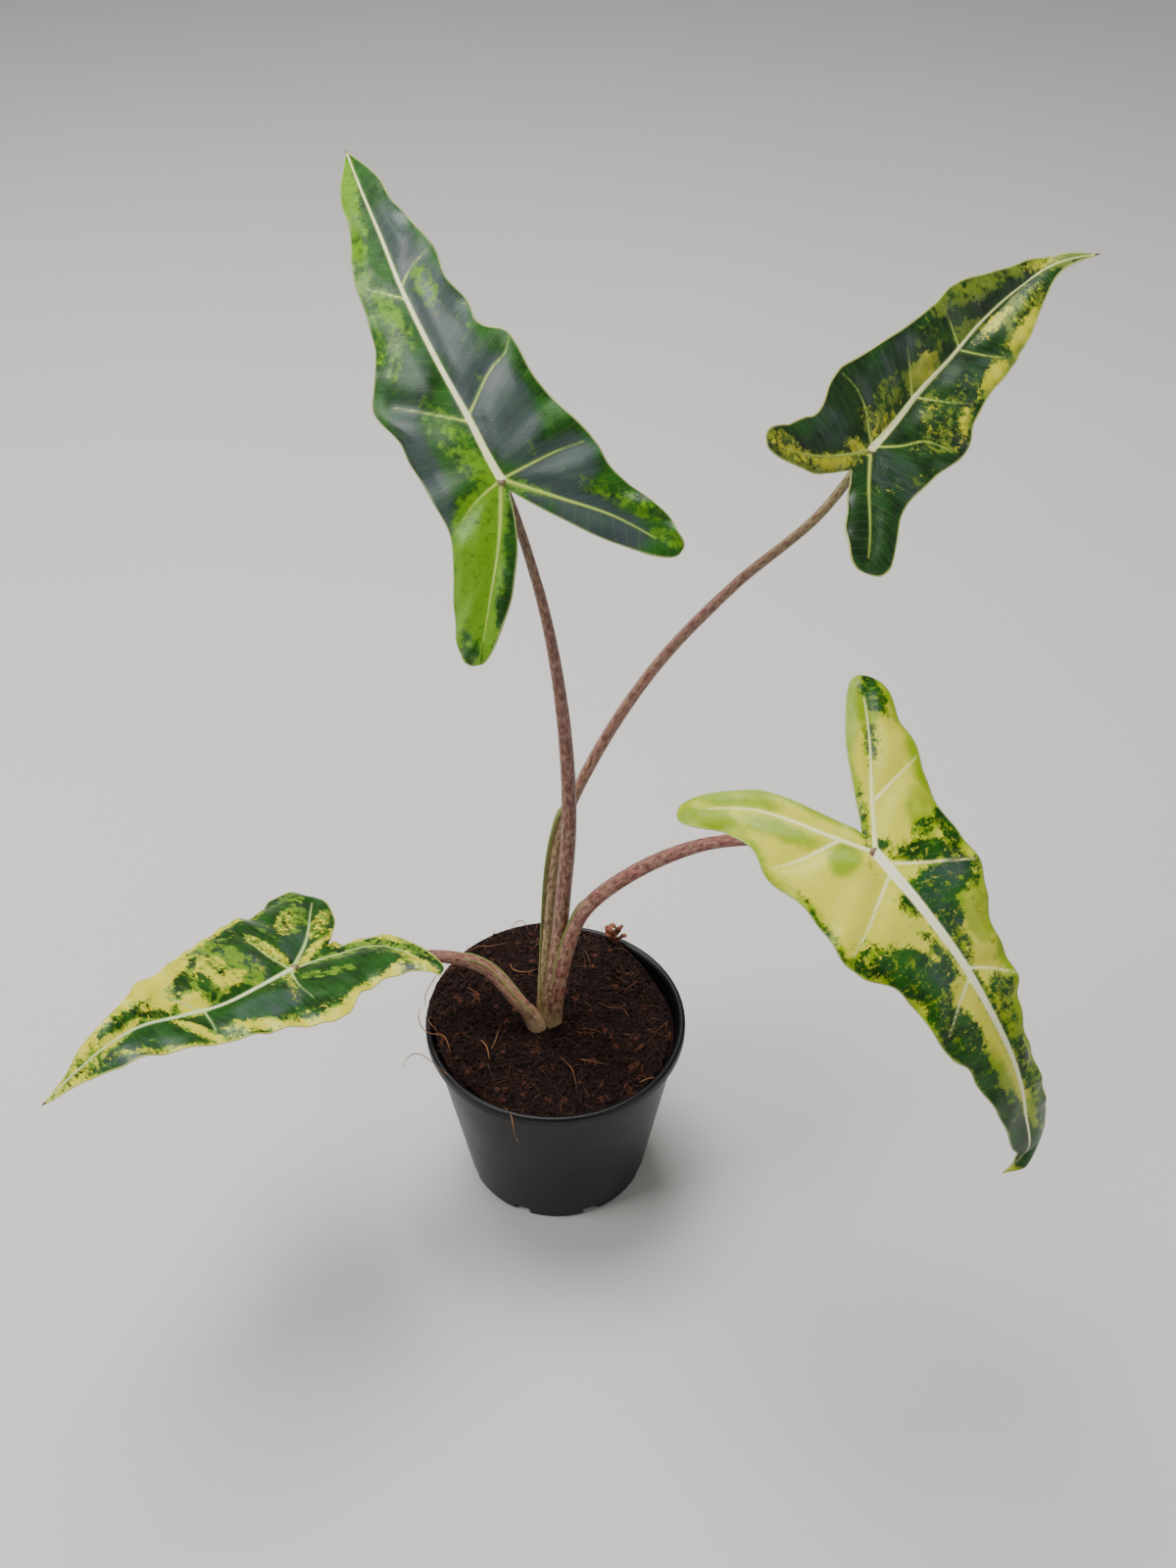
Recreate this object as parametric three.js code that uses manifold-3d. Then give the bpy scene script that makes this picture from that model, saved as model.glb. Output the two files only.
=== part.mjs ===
// A variegated arrow-leaved alocasia in a black nursery pot, in millimetres, +Z up.
// The origin is the centre of the pot's flat foot, and the plant is seen from -Y.
import * as THREE from 'three';
import { mergeVertices } from 'three/addons/utils/BufferGeometryUtils.js';
import Module from 'manifold-3d';

const wasm = await Module();
wasm.setup();

// Nursery pot: a 12 cm tapered pot with a rolled rim
const POT_HEIGHT = 95;
const RIM_RADIUS = 60;
const WALL_TOP_RADIUS = 57.2;
const FOOT_RADIUS = 43;
const POT_WALL = 1.3;
const POT_FLOOR = 1.6;
const RIM_HEIGHT = 6;
const RIM_ROLL = 1.6;
const FOOT_BEVEL = 2;
const POT_SIDES = 48;
const DRAIN_HOLES = 8;
const DRAIN_RADIUS = 4.5;
const DRAIN_HEIGHT = 5;
const DRAIN_SIDES = 12;

// Clearance that neighbouring pieces keep
const GAP = 0.32;

// Soil: coir and peat, heaped over the rim at the back left and lower at the front right
const SOIL_CENTRE_HEIGHT = 92.5;
const SOIL_LOW_EDGE = 86;
const SOIL_HEAP_EDGE = 96.2;
const SOIL_HEAP_DIRECTION = THREE.MathUtils.degToRad(132);
const SOIL_OVERHANG = 3.6;
const SOIL_SEGMENTS = 36;
const SOIL_RINGS = [48, 41, 34, 27, 20, 13, 6];
const SOIL_GRAIN = 1.3;
const CRUMBS = 22;
const CRUMB_SHOWS = 0.25;
const FIBRES = 14;
const FIBRE_RADIUS = 0.55;
const SEED = 20260;

// Corm: the short underground stem, with stub roots
const CORM = { x: -4, y: -0.5, top: 84, radius: 8.4, length: 24, roots: 6 };

// Leaf stalks: points from the corm towards the blade, the radius at the foot, above the sheath and
// at the top, and the share of the length that the sheath takes
const PETIOLES = [
  {
    path: [
      [-3, -1, 84.4], [-2, 0, 104], [1, 3, 132], [4, 6, 165],
      [7, 9, 210], [5, 11, 262], [-1, 10, 312], [-10, 6, 356],
    ],
    radii: [3.9, 3.3, 1.7],
    sheathEnd: 0.34,
  },
  {
    path: [
      [-6.5, 3, 84.4], [-6, 5, 102], [-3, 13, 142], [3, 20, 192],
      [17, 24, 230], [42, 25, 278], [71, 21, 320], [100, 13, 357],
    ],
    radii: [3.7, 2.7, 1.8],
    sheathEnd: 0.38,
  },
  {
    path: [
      [0.5, 0, 84.4], [1.5, 0, 104], [5, 0, 136], [13, -1, 165],
      [33, -6, 192], [62, -20, 222], [90, -40, 243],
    ],
    radii: [4, 3.4, 1.9],
    sheathEnd: 0.36,
  },
  {
    path: [
      [-8.5, -3, 84.4], [-11, -3, 96], [-18, -1, 108], [-31, 6, 121],
      [-49, 5, 130], [-70, -1, 134], [-92, -17, 143],
    ],
    radii: [3.8, 3, 1.9],
    sheathEnd: 0.4,
  },
];
const PETIOLE_STEPS = 22;
const PETIOLE_SIDES = 8;

// Blades, each laid flat: x across from the midrib, y from the stalk towards the tip.
// front rows follow the side veins: [midrib x, y, left margin x, y, right margin x, y], from the tip back.
// lobe rows: [basal rib x, y, outer margin x, y, inner margin x, y], ending at the lobe's tip [x, y].
// bulges tell how far the margin waves outwards half-way between one row and the next.
// heading, pitch and roll aim the blade in degrees; fold and twist are in degrees, the twist over 100 mm;
// droop, lobeDroop and curl are bends in 1/mm, and wave is the height of the margin's ripple.
const BLADES = [
  {
    attachment: [-16, 1, 380], heading: 134, pitch: 44, roll: 52,
    droop: 0.0033, lobeDroop: 0.0003, fold: 4.4, curl: 0.0059, twist: 1, wave: 1.2,
    tip: [1, 141], sinus: [0.5, -5],
    front: [
      [1, 122, -8, 124, 9, 123], [1, 101, -12.2, 104, 14, 100], [0, 79, -16, 88, 18, 86],
      [0, 53, -20, 65, 20, 62], [0.5, 26, -31, 46, 28.6, 42.4], [0, 10, -28, 20, 30, 18],
    ],
    atStalk: [-28, -8, 37, -7],
    left: [[-12, -18, -42, -31, -6, -21], [-27, -35, -49, -46, -21, -40], [-44, -53]],
    right: [[15, -16, 39, -24, 10, -20], [30, -33, 46, -43, 26, -42], [43, -55]],
    leftBulges: [0, -1.5, 0, -0.8, -1.5, -3.2, 0, 0, 0, -1],
    rightBulges: [0, -1, 0, -1.5, -3.6, -0.4, 1, -1, 1, -0.5],
  },
  {
    attachment: [116, 8, 388], heading: 55.5, pitch: 8.6, roll: -42,
    droop: -0.00235, lobeDroop: 0.0003, fold: 14, curl: 0.0007, twist: 8, wave: 1,
    tip: [13, 139], sinus: [-0.5, -14],
    front: [
      [3, 122, -1, 123, 7, 121], [-1, 100, -10, 104, 12, 101], [-2, 79, -19, 83, 17, 82],
      [-1, 59, -20, 67, 19, 71], [-1, 37, -22, 49, 21, 46], [0, 17, -26, 28, 27, 29],
    ],
    atStalk: [-30, 7, 24, 10],
    left: [[-7, -14, -25, -13, -4, -20], [-17, -29, -30, -29, -12, -32], [-32, -44]],
    right: [[8, -14, 23, -9, 4, -22], [19, -30, 32, -32, 14, -37], [31, -47]],
    leftBulges: [1, 0.4, -0.5, 0.4, 0, 0, -0.5, 1, 0.4, 0.8],
    rightBulges: [0, 0, 0.4, 0, -0.8, -0.7, 0, 0.5, -1.8, -0.8],
  },
  {
    attachment: [121, -71, 265], heading: -48, pitch: -24.5, roll: -18,
    droop: 0.0081, lobeDroop: 0.0044, fold: 2, curl: 0.0063, twist: 6, wave: 1.4,
    tip: [15, 161], sinus: [-1.5, -9],
    front: [
      [5, 157, -3, 160, 7.5, 158], [1, 145, -11, 148, 9, 146], [-1, 122, -11, 128, 12, 122],
      [-2, 98, -12, 104, 16, 98], [-2, 73, -14.8, 80, 21, 79], [-2, 50, -20, 60, 23, 54],
      [-1, 26, -26.6, 36, 33.4, 32.6],
    ],
    atStalk: [-32, 14, 34, 12],
    left: [[-13, -17, -36, -12, -10, -24], [-30, -38, -44, -35, -25, -46], [-46, -61]],
    right: [[9, -15, 37.5, -17, 5, -23], [24, -42, 37, -41, 20, -50], [45, -63]],
    leftBulges: [0, -1.2, -0.5, 0, -2, 2, -2.7, 2.2, -2.3, 1.5, 2.5],
    rightBulges: [0, -0.8, 0, 0, -2, 1, -2.5, 1.5, -1.6, -2.4, 1.6],
  },
  {
    attachment: [-109, -37, 167], heading: 234.5, pitch: 20, roll: 1,
    droop: 0.0006, lobeDroop: -0.003, fold: 9.5, curl: 0.0039, twist: 18, wave: 1.2,
    tip: [-2, 134], sinus: [3, -26],
    front: [
      [2, 118, -2, 119, 4, 118], [6, 98, -4, 100, 14, 97], [7, 79, -9, 79, 19.5, 79],
      [3, 60, -18, 57, 25.6, 65.6], [-1, 40, -25, 41, 28, 44], [-1, 20, -34, 23, 33, 24],
    ],
    atStalk: [-39, 9, 37, 5],
    left: [[-5, -19, -34, -12, -1, -32], [-17, -37, -40, -29, -13, -46], [-51, -38]],
    right: [[10, -19, 38, -14, 6, -31], [23, -36, 44, -33, 15, -43], [34, -50]],
    leftBulges: [0.6, 0, -0.4, 0, 0, -0.6, 0.5, -1.5, -0.5, -1.2],
    rightBulges: [0, 1, -0.4, -1, -2, -0.4, -0.9, 0.6, -1.8, 1.5],
  },
];
const BLADE_HALF = 0.45;
const MIDRIB_RAISE = 1.7;
const BASAL_RAISE = 1.1;
const SIDE_VEIN_RAISE = 0.5;
// Where the rows between two side veins lie, and the columns between rib and margin
const ROW_STEPS = [0, 0.14, 0.5, 0.86];
const OUTER_COLUMNS = [0, 0.06, 0.34, 0.68, 1];
const INNER_COLUMNS = [0, 0.5, 1];

const COLOURS = {
  pot: 0x17181b,
  soil: 0x4a2c1e,
  corm: 0x9a7b5c,
  petiole: 0xb9a98a,
  leaf: [0x3f5f45, 0x35543a, 0xb9bb73, 0x6f8f4c],
};

/** A repeatable random number source: 32-bit mixing of a counter. */
function seededRandom(seed) {
  let state = seed;
  return () => {
    state = (state + 0x6d2b79f5) | 0;
    let mixed = Math.imul(state ^ (state >>> 15), 1 | state);
    mixed = (mixed + Math.imul(mixed ^ (mixed >>> 7), 61 | mixed)) ^ mixed;
    return ((mixed ^ (mixed >>> 14)) >>> 0) / 4294967296;
  };
}

function smoothstep(from, to, value) {
  return THREE.MathUtils.smoothstep(value, from, to);
}

function geometryOf(points, triangles) {
  const geometry = new THREE.BufferGeometry();
  geometry.setAttribute('position', new THREE.Float32BufferAttribute(points.flat(), 3));
  geometry.setIndex(triangles.flat());
  return geometry;
}

function toSolid(geometry) {
  const bare = geometry.clone();
  bare.deleteAttribute('normal');
  bare.deleteAttribute('uv');
  const merged = mergeVertices(bare, 1e-4);
  return new wasm.Manifold(new wasm.Mesh({
    numProp: 3,
    vertProperties: new Float32Array(merged.attributes.position.array),
    triVerts: new Uint32Array(merged.index.array),
  }));
}

/** The largest body of a solid as a geometry; scraps that a cut leaves are dropped. */
function fromSolid(solid) {
  const bodies = solid.decompose();
  const largest = bodies.reduce((best, body) => (body.volume() > best.volume() ? body : best));
  const mesh = largest.getMesh();
  const geometry = new THREE.BufferGeometry();
  geometry.setAttribute('position', new THREE.BufferAttribute(new Float32Array(mesh.vertProperties), 3));
  geometry.setIndex(new THREE.BufferAttribute(new Uint32Array(mesh.triVerts), 1));
  return geometry;
}

function meshOf(name, geometry, colour, roughness) {
  const material = new THREE.MeshStandardMaterial({ color: colour, roughness, metalness: 0 });
  const mesh = new THREE.Mesh(geometry, material);
  mesh.name = name;
  return mesh;
}

/** Rings of points joined into a closed skin, with a middle point at each end. */
function skinOf(rings, firstPoint, lastPoint) {
  const sides = rings[0].length;
  const points = rings.flat();
  const triangles = [];
  for (let ring = 0; ring + 1 < rings.length; ring += 1) {
    for (let side = 0; side < sides; side += 1) {
      const next = (side + 1) % sides;
      const a = ring * sides + side;
      const b = ring * sides + next;
      triangles.push([a, b, b + sides], [a, b + sides, a + sides]);
    }
  }
  const first = points.push(firstPoint) - 1;
  const last = points.push(lastPoint) - 1;
  const top = (rings.length - 1) * sides;
  for (let side = 0; side < sides; side += 1) {
    const next = (side + 1) % sides;
    triangles.push([first, next, side], [last, top + side, top + next]);
  }
  return geometryOf(points, triangles);
}

/** A round bar along a smooth path: each ring stands square to it, its radius given by share of length. */
function barAlong(path, radiusAt, steps, sides) {
  const points = path.map((point) => new THREE.Vector3(...point));
  const curve = new THREE.CatmullRomCurve3(points, false, 'centripetal');
  const frames = curve.computeFrenetFrames(steps, false);
  const rings = [];
  for (let step = 0; step <= steps; step += 1) {
    const centre = curve.getPointAt(step / steps);
    const radius = radiusAt(step / steps);
    const ring = [];
    for (let side = 0; side < sides; side += 1) {
      const angle = (side / sides) * 2 * Math.PI;
      const point = centre.clone()
        .addScaledVector(frames.normals[step], radius * Math.cos(angle))
        .addScaledVector(frames.binormals[step], radius * Math.sin(angle));
      ring.push(point.toArray());
    }
    rings.push(ring);
  }
  return skinOf(rings, curve.getPointAt(0).toArray(), curve.getPointAt(1).toArray());
}

function potSlope() {
  return (WALL_TOP_RADIUS - FOOT_RADIUS) / (POT_HEIGHT - RIM_HEIGHT - FOOT_BEVEL);
}

function potInnerRadius(height) {
  return FOOT_RADIUS - POT_WALL + potSlope() * (Math.min(height, POT_HEIGHT - RIM_HEIGHT) - FOOT_BEVEL);
}

/** The moulded pot: one turned wall with a rolled rim, notched round the foot for drainage. */
function makePot() {
  const shoulder = POT_HEIGHT - RIM_HEIGHT;
  const inner = potInnerRadius(shoulder);
  const profile = [
    [0, 0],
    [FOOT_RADIUS - FOOT_BEVEL, 0],
    [FOOT_RADIUS, FOOT_BEVEL],
    [WALL_TOP_RADIUS, shoulder],
    [RIM_RADIUS - 0.4 * RIM_ROLL, shoulder + 0.3 * RIM_ROLL],
    [RIM_RADIUS, shoulder + RIM_ROLL],
    [RIM_RADIUS, POT_HEIGHT - 0.9 * RIM_ROLL],
    [RIM_RADIUS - 0.4 * RIM_ROLL, POT_HEIGHT - 0.2 * RIM_ROLL],
    [RIM_RADIUS - RIM_ROLL, POT_HEIGHT],
    [inner + 0.9, POT_HEIGHT - 0.6],
    [inner + 0.3, POT_HEIGHT - 2],
    [inner, shoulder],
    [potInnerRadius(POT_FLOOR + 1.5), POT_FLOOR + 1.5],
    [potInnerRadius(POT_FLOOR) - 1.5, POT_FLOOR],
    [0, POT_FLOOR],
  ];
  const lathe = new THREE.LatheGeometry(profile.map(([x, y]) => new THREE.Vector2(x, y)), POT_SIDES);
  lathe.rotateX(Math.PI / 2);
  let solid = toSolid(lathe);
  for (let hole = 0; hole < DRAIN_HOLES; hole += 1) {
    const angle = ((hole + 0.5) / DRAIN_HOLES) * 2 * Math.PI;
    const drill = new THREE.CylinderGeometry(DRAIN_RADIUS, DRAIN_RADIUS, 2 * DRAIN_HEIGHT, DRAIN_SIDES);
    drill.rotateX(Math.PI / 2);
    const reach = FOOT_RADIUS - FOOT_BEVEL;
    drill.translate(reach * Math.cos(angle), reach * Math.sin(angle), 0);
    solid = solid.subtract(toSolid(drill));
  }
  return fromSolid(solid);
}

function soilEdgeHeight(angle) {
  const towardsHeap = Math.cos(angle - SOIL_HEAP_DIRECTION);
  return SOIL_LOW_EDGE + (SOIL_HEAP_EDGE - SOIL_LOW_EDGE) * smoothstep(-0.3, 0.42, towardsHeap);
}

function soilHeight(radius, angle) {
  const share = smoothstep(6, 52, radius);
  return SOIL_CENTRE_HEIGHT + (soilEdgeHeight(angle) + 1 - SOIL_CENTRE_HEIGHT) * share;
}

/** The soil body without stems: it follows the pot's wall, and its grainy mound laps over the rim. */
function soilBody(random) {
  const rings = [];
  const ringOf = (pointAt) => {
    const ring = [];
    for (let segment = 0; segment < SOIL_SEGMENTS; segment += 1) {
      const angle = (segment / SOIL_SEGMENTS) * 2 * Math.PI;
      const [radius, height] = pointAt(angle);
      ring.push([radius * Math.cos(angle), radius * Math.sin(angle), height]);
    }
    return ring;
  };
  const floor = POT_FLOOR + GAP;
  const wallTop = POT_HEIGHT - RIM_HEIGHT - 0.5;
  const overlap = (angle) => smoothstep(0.5, 0.75, Math.cos(angle - SOIL_HEAP_DIRECTION));
  rings.push(ringOf(() => [potInnerRadius(floor) - 1.5 - GAP, floor]));
  rings.push(ringOf(() => [potInnerRadius(floor + 1.8) - GAP - 0.1, floor + 1.8]));
  rings.push(ringOf((angle) => {
    const height = Math.min(soilEdgeHeight(angle) - 1, wallTop);
    return [potInnerRadius(height) - GAP, height];
  }));
  rings.push(ringOf((angle) => [potInnerRadius(soilEdgeHeight(angle)) - GAP, soilEdgeHeight(angle)]));
  const lipRadius = (angle) => {
    const wall = potInnerRadius(soilEdgeHeight(angle)) - GAP;
    return wall + THREE.MathUtils.lerp(-1.2, SOIL_OVERHANG, overlap(angle));
  };
  rings.push(ringOf((angle) => [lipRadius(angle), soilEdgeHeight(angle) + 0.5 - 0.4 * overlap(angle)]));
  rings.push(ringOf((angle) => [lipRadius(angle) - 1, soilEdgeHeight(angle) + 1 + overlap(angle)]));
  for (const radius of SOIL_RINGS) {
    rings.push(ringOf((angle) => {
      const grain = (random() - 0.5) * 2 * SOIL_GRAIN;
      return [radius + (random() - 0.5) * 2, soilHeight(radius, angle) + grain];
    }));
  }
  return skinOf(rings, [0, 0, floor], [0, 0, SOIL_CENTRE_HEIGHT]);
}

function crumbAt(random) {
  const radius = 18 + 34 * Math.sqrt(random());
  const angle = 2 * Math.PI * random();
  const size = 1.6 + 1.8 * random();
  const crumb = new THREE.IcosahedronGeometry(size, 0);
  crumb.scale(1, 0.8 + 0.3 * random(), 0.75);
  crumb.rotateZ(2 * Math.PI * random());
  const height = soilHeight(radius, angle) + CRUMB_SHOWS * size;
  crumb.translate(radius * Math.cos(angle), radius * Math.sin(angle), height);
  return crumb;
}

/** A bent three-sided strand of coir, both ends sunk in the soil. */
function fibreAt(random) {
  const radius = 20 + 26 * random();
  const angle = 2 * Math.PI * random();
  const heading = 2 * Math.PI * random();
  const length = 9 + 11 * random();
  const bend = (random() - 0.5) * 6;
  const centre = [radius * Math.cos(angle), radius * Math.sin(angle)];
  const path = [-0.5, -0.2, 0.15, 0.5].map((share) => {
    const sideways = bend * (0.25 - share * share);
    const x = centre[0] + share * length * Math.cos(heading) - sideways * Math.sin(heading);
    const y = centre[1] + share * length * Math.sin(heading) + sideways * Math.cos(heading);
    const reach = Math.min(Math.hypot(x, y), 52);
    const lift = Math.abs(share) > 0.4 ? -1.4 : 1.1;
    const at = Math.atan2(y, x);
    return [reach * Math.cos(at), reach * Math.sin(at), soilHeight(reach, at) + lift];
  });
  return barAlong(path, () => FIBRE_RADIUS, 5, 3);
}

function cormProfile(grow) {
  const { top, radius, length } = CORM;
  const rings = [
    [0, top - length - grow],
    [radius * 0.5, top - length - grow],
    [radius * 0.85 + grow, top - length * 0.72],
    [radius * 0.8 + grow, top - length * 0.6],
    [radius + grow, top - length * 0.42],
    [radius * 0.92 + grow, top - length * 0.3],
    [radius * 1.02 + grow, top - length * 0.14],
    [radius * 0.9 + grow, top + grow],
    [0, top + grow],
  ];
  return rings.map(([x, y]) => new THREE.Vector2(x, y));
}

/** The corm with its ringed sides and stub roots; grow widens it for the hole in the soil. */
function cormSolid(grow) {
  const lathe = new THREE.LatheGeometry(cormProfile(grow), 16);
  lathe.rotateX(Math.PI / 2);
  lathe.translate(CORM.x, CORM.y, 0);
  let solid = toSolid(lathe);
  for (let root = 0; root < CORM.roots; root += 1) {
    const angle = ((root + 0.3) / CORM.roots) * 2 * Math.PI;
    const start = CORM.top - CORM.length * (root % 2 ? 0.55 : 0.75);
    const path = [0.5, 1, 1.7, 2.2].map((reach, at) => [
      CORM.x + CORM.radius * reach * Math.cos(angle),
      CORM.y + CORM.radius * reach * Math.sin(angle),
      start - [0, 1.5, 6, 13][at],
    ]);
    solid = solid.add(toSolid(barAlong(path, (share) => 1.5 - 0.8 * share + grow, 4, 5)));
  }
  return solid;
}

/** Unit directions of a blade: across to its right, towards its tip, and up from its face. */
function bladeAxes({ heading, pitch, roll }) {
  const h = THREE.MathUtils.degToRad(heading);
  const p = THREE.MathUtils.degToRad(pitch);
  const r = THREE.MathUtils.degToRad(roll);
  const tipward = new THREE.Vector3(Math.cos(p) * Math.cos(h), Math.cos(p) * Math.sin(h), Math.sin(p));
  const level = new THREE.Vector3(Math.sin(h), -Math.cos(h), 0);
  const upright = new THREE.Vector3().crossVectors(level, tipward);
  const across = level.clone().multiplyScalar(Math.cos(r)).addScaledVector(upright, Math.sin(r));
  const faceUp = upright.clone().multiplyScalar(Math.cos(r)).addScaledVector(level, -Math.sin(r));
  return { across, tipward, faceUp };
}

/** Distance gone forwards and down along an arc of the given bend. */
function alongArc(distance, bend) {
  return [Math.sin(bend * distance) / bend, (1 - Math.cos(bend * distance)) / bend];
}

/** Carries a point of the flat blade, raised by lift, onto the bent blade in space. */
function bendBlade(blade, axes, x, y, lift) {
  const [forward, down] = y >= 0 ? alongArc(y, blade.droop) : alongArc(-y, blade.lobeDroop);
  const slope = y >= 0 ? blade.droop * y : blade.lobeDroop * y;
  const fold = THREE.MathUtils.degToRad(blade.fold);
  const twist = THREE.MathUtils.degToRad(blade.twist) * (y / 100);
  const [out, sag] = alongArc(Math.abs(x), blade.curl);
  const side = Math.sign(x) * (Math.cos(fold) * out + Math.sin(fold) * sag);
  const rise = Math.sin(fold) * out - Math.cos(fold) * sag + lift;
  const sideways = side * Math.cos(twist) - rise * Math.sin(twist);
  const upwards = side * Math.sin(twist) + rise * Math.cos(twist);
  return new THREE.Vector3(...blade.attachment)
    .addScaledVector(axes.tipward, (y >= 0 ? forward : -forward) + upwards * Math.sin(slope))
    .addScaledVector(axes.faceUp, upwards * Math.cos(slope) - down)
    .addScaledVector(axes.across, sideways);
}

/** Rib and margin points of one side of a blade, row by row from the tip to the lobe's tip. */
function sideRows(blade, isRight) {
  const lobe = isRight ? blade.right : blade.left;
  const lobeTip = lobe[lobe.length - 1];
  const margin = (row) => (isRight ? row.slice(4, 6) : row.slice(2, 4));
  const stalkMargin = isRight ? blade.atStalk.slice(2, 4) : blade.atStalk.slice(0, 2);
  const rib = [blade.tip, ...blade.front.map((row) => row.slice(0, 2)), [0, 0]];
  const outer = [blade.tip, ...blade.front.map(margin), stalkMargin];
  const inner = [blade.sinus];
  for (const row of lobe.slice(0, -1)) {
    rib.push(row.slice(0, 2));
    outer.push(row.slice(2, 4));
    inner.push(row.slice(4, 6));
  }
  rib.push(lobeTip);
  outer.push(lobeTip);
  inner.push(lobeTip);
  return { rib, outer, inner, stalkRow: blade.front.length + 1 };
}

/** A smooth curve through flat points; getPoint takes the row number over the number of rows. */
function flatCurve(points) {
  return new THREE.SplineCurve(points.map(([x, y]) => new THREE.Vector2(x, y)));
}

/** The rows of one side: each has its place u in side veins, its rib point and its margin points. */
function finerRows(blade, isRight) {
  const { rib, outer, inner, stalkRow } = sideRows(blade, isRight);
  const front = flatCurve(rib.slice(0, stalkRow + 1));
  const basal = flatCurve(rib.slice(stalkRow));
  const lastRow = rib.length - 1;
  const margin = flatCurve([...outer, ...inner.slice(0, -1).reverse()]);
  const marginPoints = lastRow + inner.length - 1;
  const bulges = isRight ? blade.rightBulges : blade.leftBulges;
  const rows = [];
  for (let vein = 0; vein <= lastRow; vein += 1) {
    for (const step of vein === lastRow ? [0] : ROW_STEPS) {
      const u = vein + step;
      const behindStalk = u - stalkRow;
      const onMidrib = behindStalk <= 0;
      const basalShare = behindStalk / (lastRow - stalkRow);
      const ribPoint = onMidrib ? front.getPoint(u / stalkRow) : basal.getPoint(basalShare);
      const outerMargin = margin.getPoint(u / marginPoints);
      const outwards = outerMargin.clone().sub(ribPoint);
      if (vein < lastRow) {
        outerMargin.addScaledVector(outwards.normalize(), bulges[vein] * Math.sin(Math.PI * step) ** 2);
      }
      const innerMargin = behindStalk < 0 ? null : margin.getPoint((2 * lastRow - u) / marginPoints);
      rows.push({ u, step, ribPoint, outerMargin, innerMargin });
    }
  }
  return { rows, lastRow, stalkRow };
}

/** A blade of even thickness with ribs raised underneath; extra thickens it, for cutting its seat. */
function makeBlade(blade, extra = 0) {
  const axes = bladeAxes(blade);
  const points = [];
  const raises = [];
  const triangles = [];
  const keys = new Map();
  const vertex = (x, y, lift, raise) => {
    const key = `${x.toFixed(3)},${y.toFixed(3)}`;
    if (!keys.has(key)) {
      keys.set(key, points.push(bendBlade(blade, axes, x, y, lift)) - 1);
      raises.push(raise);
    }
    return keys.get(key);
  };
  const patch = (rows, marginOf, columns, flip, sideVeins) => {
    const grid = rows.map((row) => {
      const end = marginOf(row);
      const length = end.distanceTo(row.ribPoint);
      const swing = 0.6 * Math.sin(0.9 * Math.PI * row.u) - 0.4 * Math.cos(2 * Math.PI * row.u);
      const taper = Math.min(1, length / 12);
      const ribRaise = row.raise * Math.min(1, length / 5);
      return columns.map((t) => {
        const x = THREE.MathUtils.lerp(row.ribPoint.x, end.x, t);
        const y = THREE.MathUtils.lerp(row.ribPoint.y, end.y, t);
        const vein = sideVeins && row.step === 0 && length > 6 ? SIDE_VEIN_RAISE * (1 - t) : 0;
        const raise = t === 0 ? ribRaise : vein;
        return vertex(x, y, blade.wave * swing * taper * t * t, raise);
      });
    });
    for (let row = 0; row + 1 < grid.length; row += 1) {
      for (let column = 0; column + 1 < columns.length; column += 1) {
        const near = grid[row];
        const far = grid[row + 1];
        const quad = [near[column], far[column], far[column + 1], near[column + 1]];
        const order = flip ? [0, 3, 2, 1] : [0, 1, 2, 3];
        const [a, b, c, d] = order.map((at) => quad[at]);
        triangles.push([a, b, c], [a, c, d]);
      }
    }
  };
  for (const isRight of [false, true]) {
    const { rows, lastRow, stalkRow } = finerRows(blade, isRight);
    for (const row of rows) {
      const towardsTip = THREE.MathUtils.clamp(row.u / stalkRow, 0, 1);
      const towardsLobe = THREE.MathUtils.clamp((lastRow - row.u) / (lastRow - stalkRow), 0, 1);
      row.raise = row.u <= stalkRow ? MIDRIB_RAISE * towardsTip : BASAL_RAISE * towardsLobe;
    }
    const behind = rows.filter((row) => row.innerMargin !== null);
    patch(rows, (row) => row.outerMargin, OUTER_COLUMNS, isRight, true);
    patch(behind, (row) => row.innerMargin, INNER_COLUMNS, !isRight, false);
  }
  const faces = triangles.filter(([a, b, c]) => a !== b && b !== c && a !== c);
  return thicken(points, raises, faces, BLADE_HALF + extra);
}

/** Closes a single skin into a solid: a face above, one below split alike, and a rim round the free edge. */
function thicken(points, raises, faces, half) {
  const middle = geometryOf(points.map((point) => point.toArray()), faces);
  middle.computeVertexNormals();
  const normals = middle.attributes.normal;
  const count = points.length;
  const skin = [];
  for (const sign of [1, -1]) {
    for (let at = 0; at < count; at += 1) {
      const normal = new THREE.Vector3().fromBufferAttribute(normals, at);
      const depth = sign > 0 ? half : half + raises[at];
      skin.push(points[at].clone().addScaledVector(normal, sign * depth).toArray());
    }
  }
  const triangles = [];
  const edges = new Set(faces.flatMap(([a, b, c]) => [`${a},${b}`, `${b},${c}`, `${c},${a}`]));
  for (const [a, b, c] of faces) {
    triangles.push([a, b, c], [a + count, c + count, b + count]);
    for (const [from, to] of [[a, b], [b, c], [c, a]]) {
      if (!edges.has(`${to},${from}`)) {
        triangles.push([to, from, from + count], [to, from + count, to + count]);
      }
    }
  }
  return geometryOf(skin, triangles);
}

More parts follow.
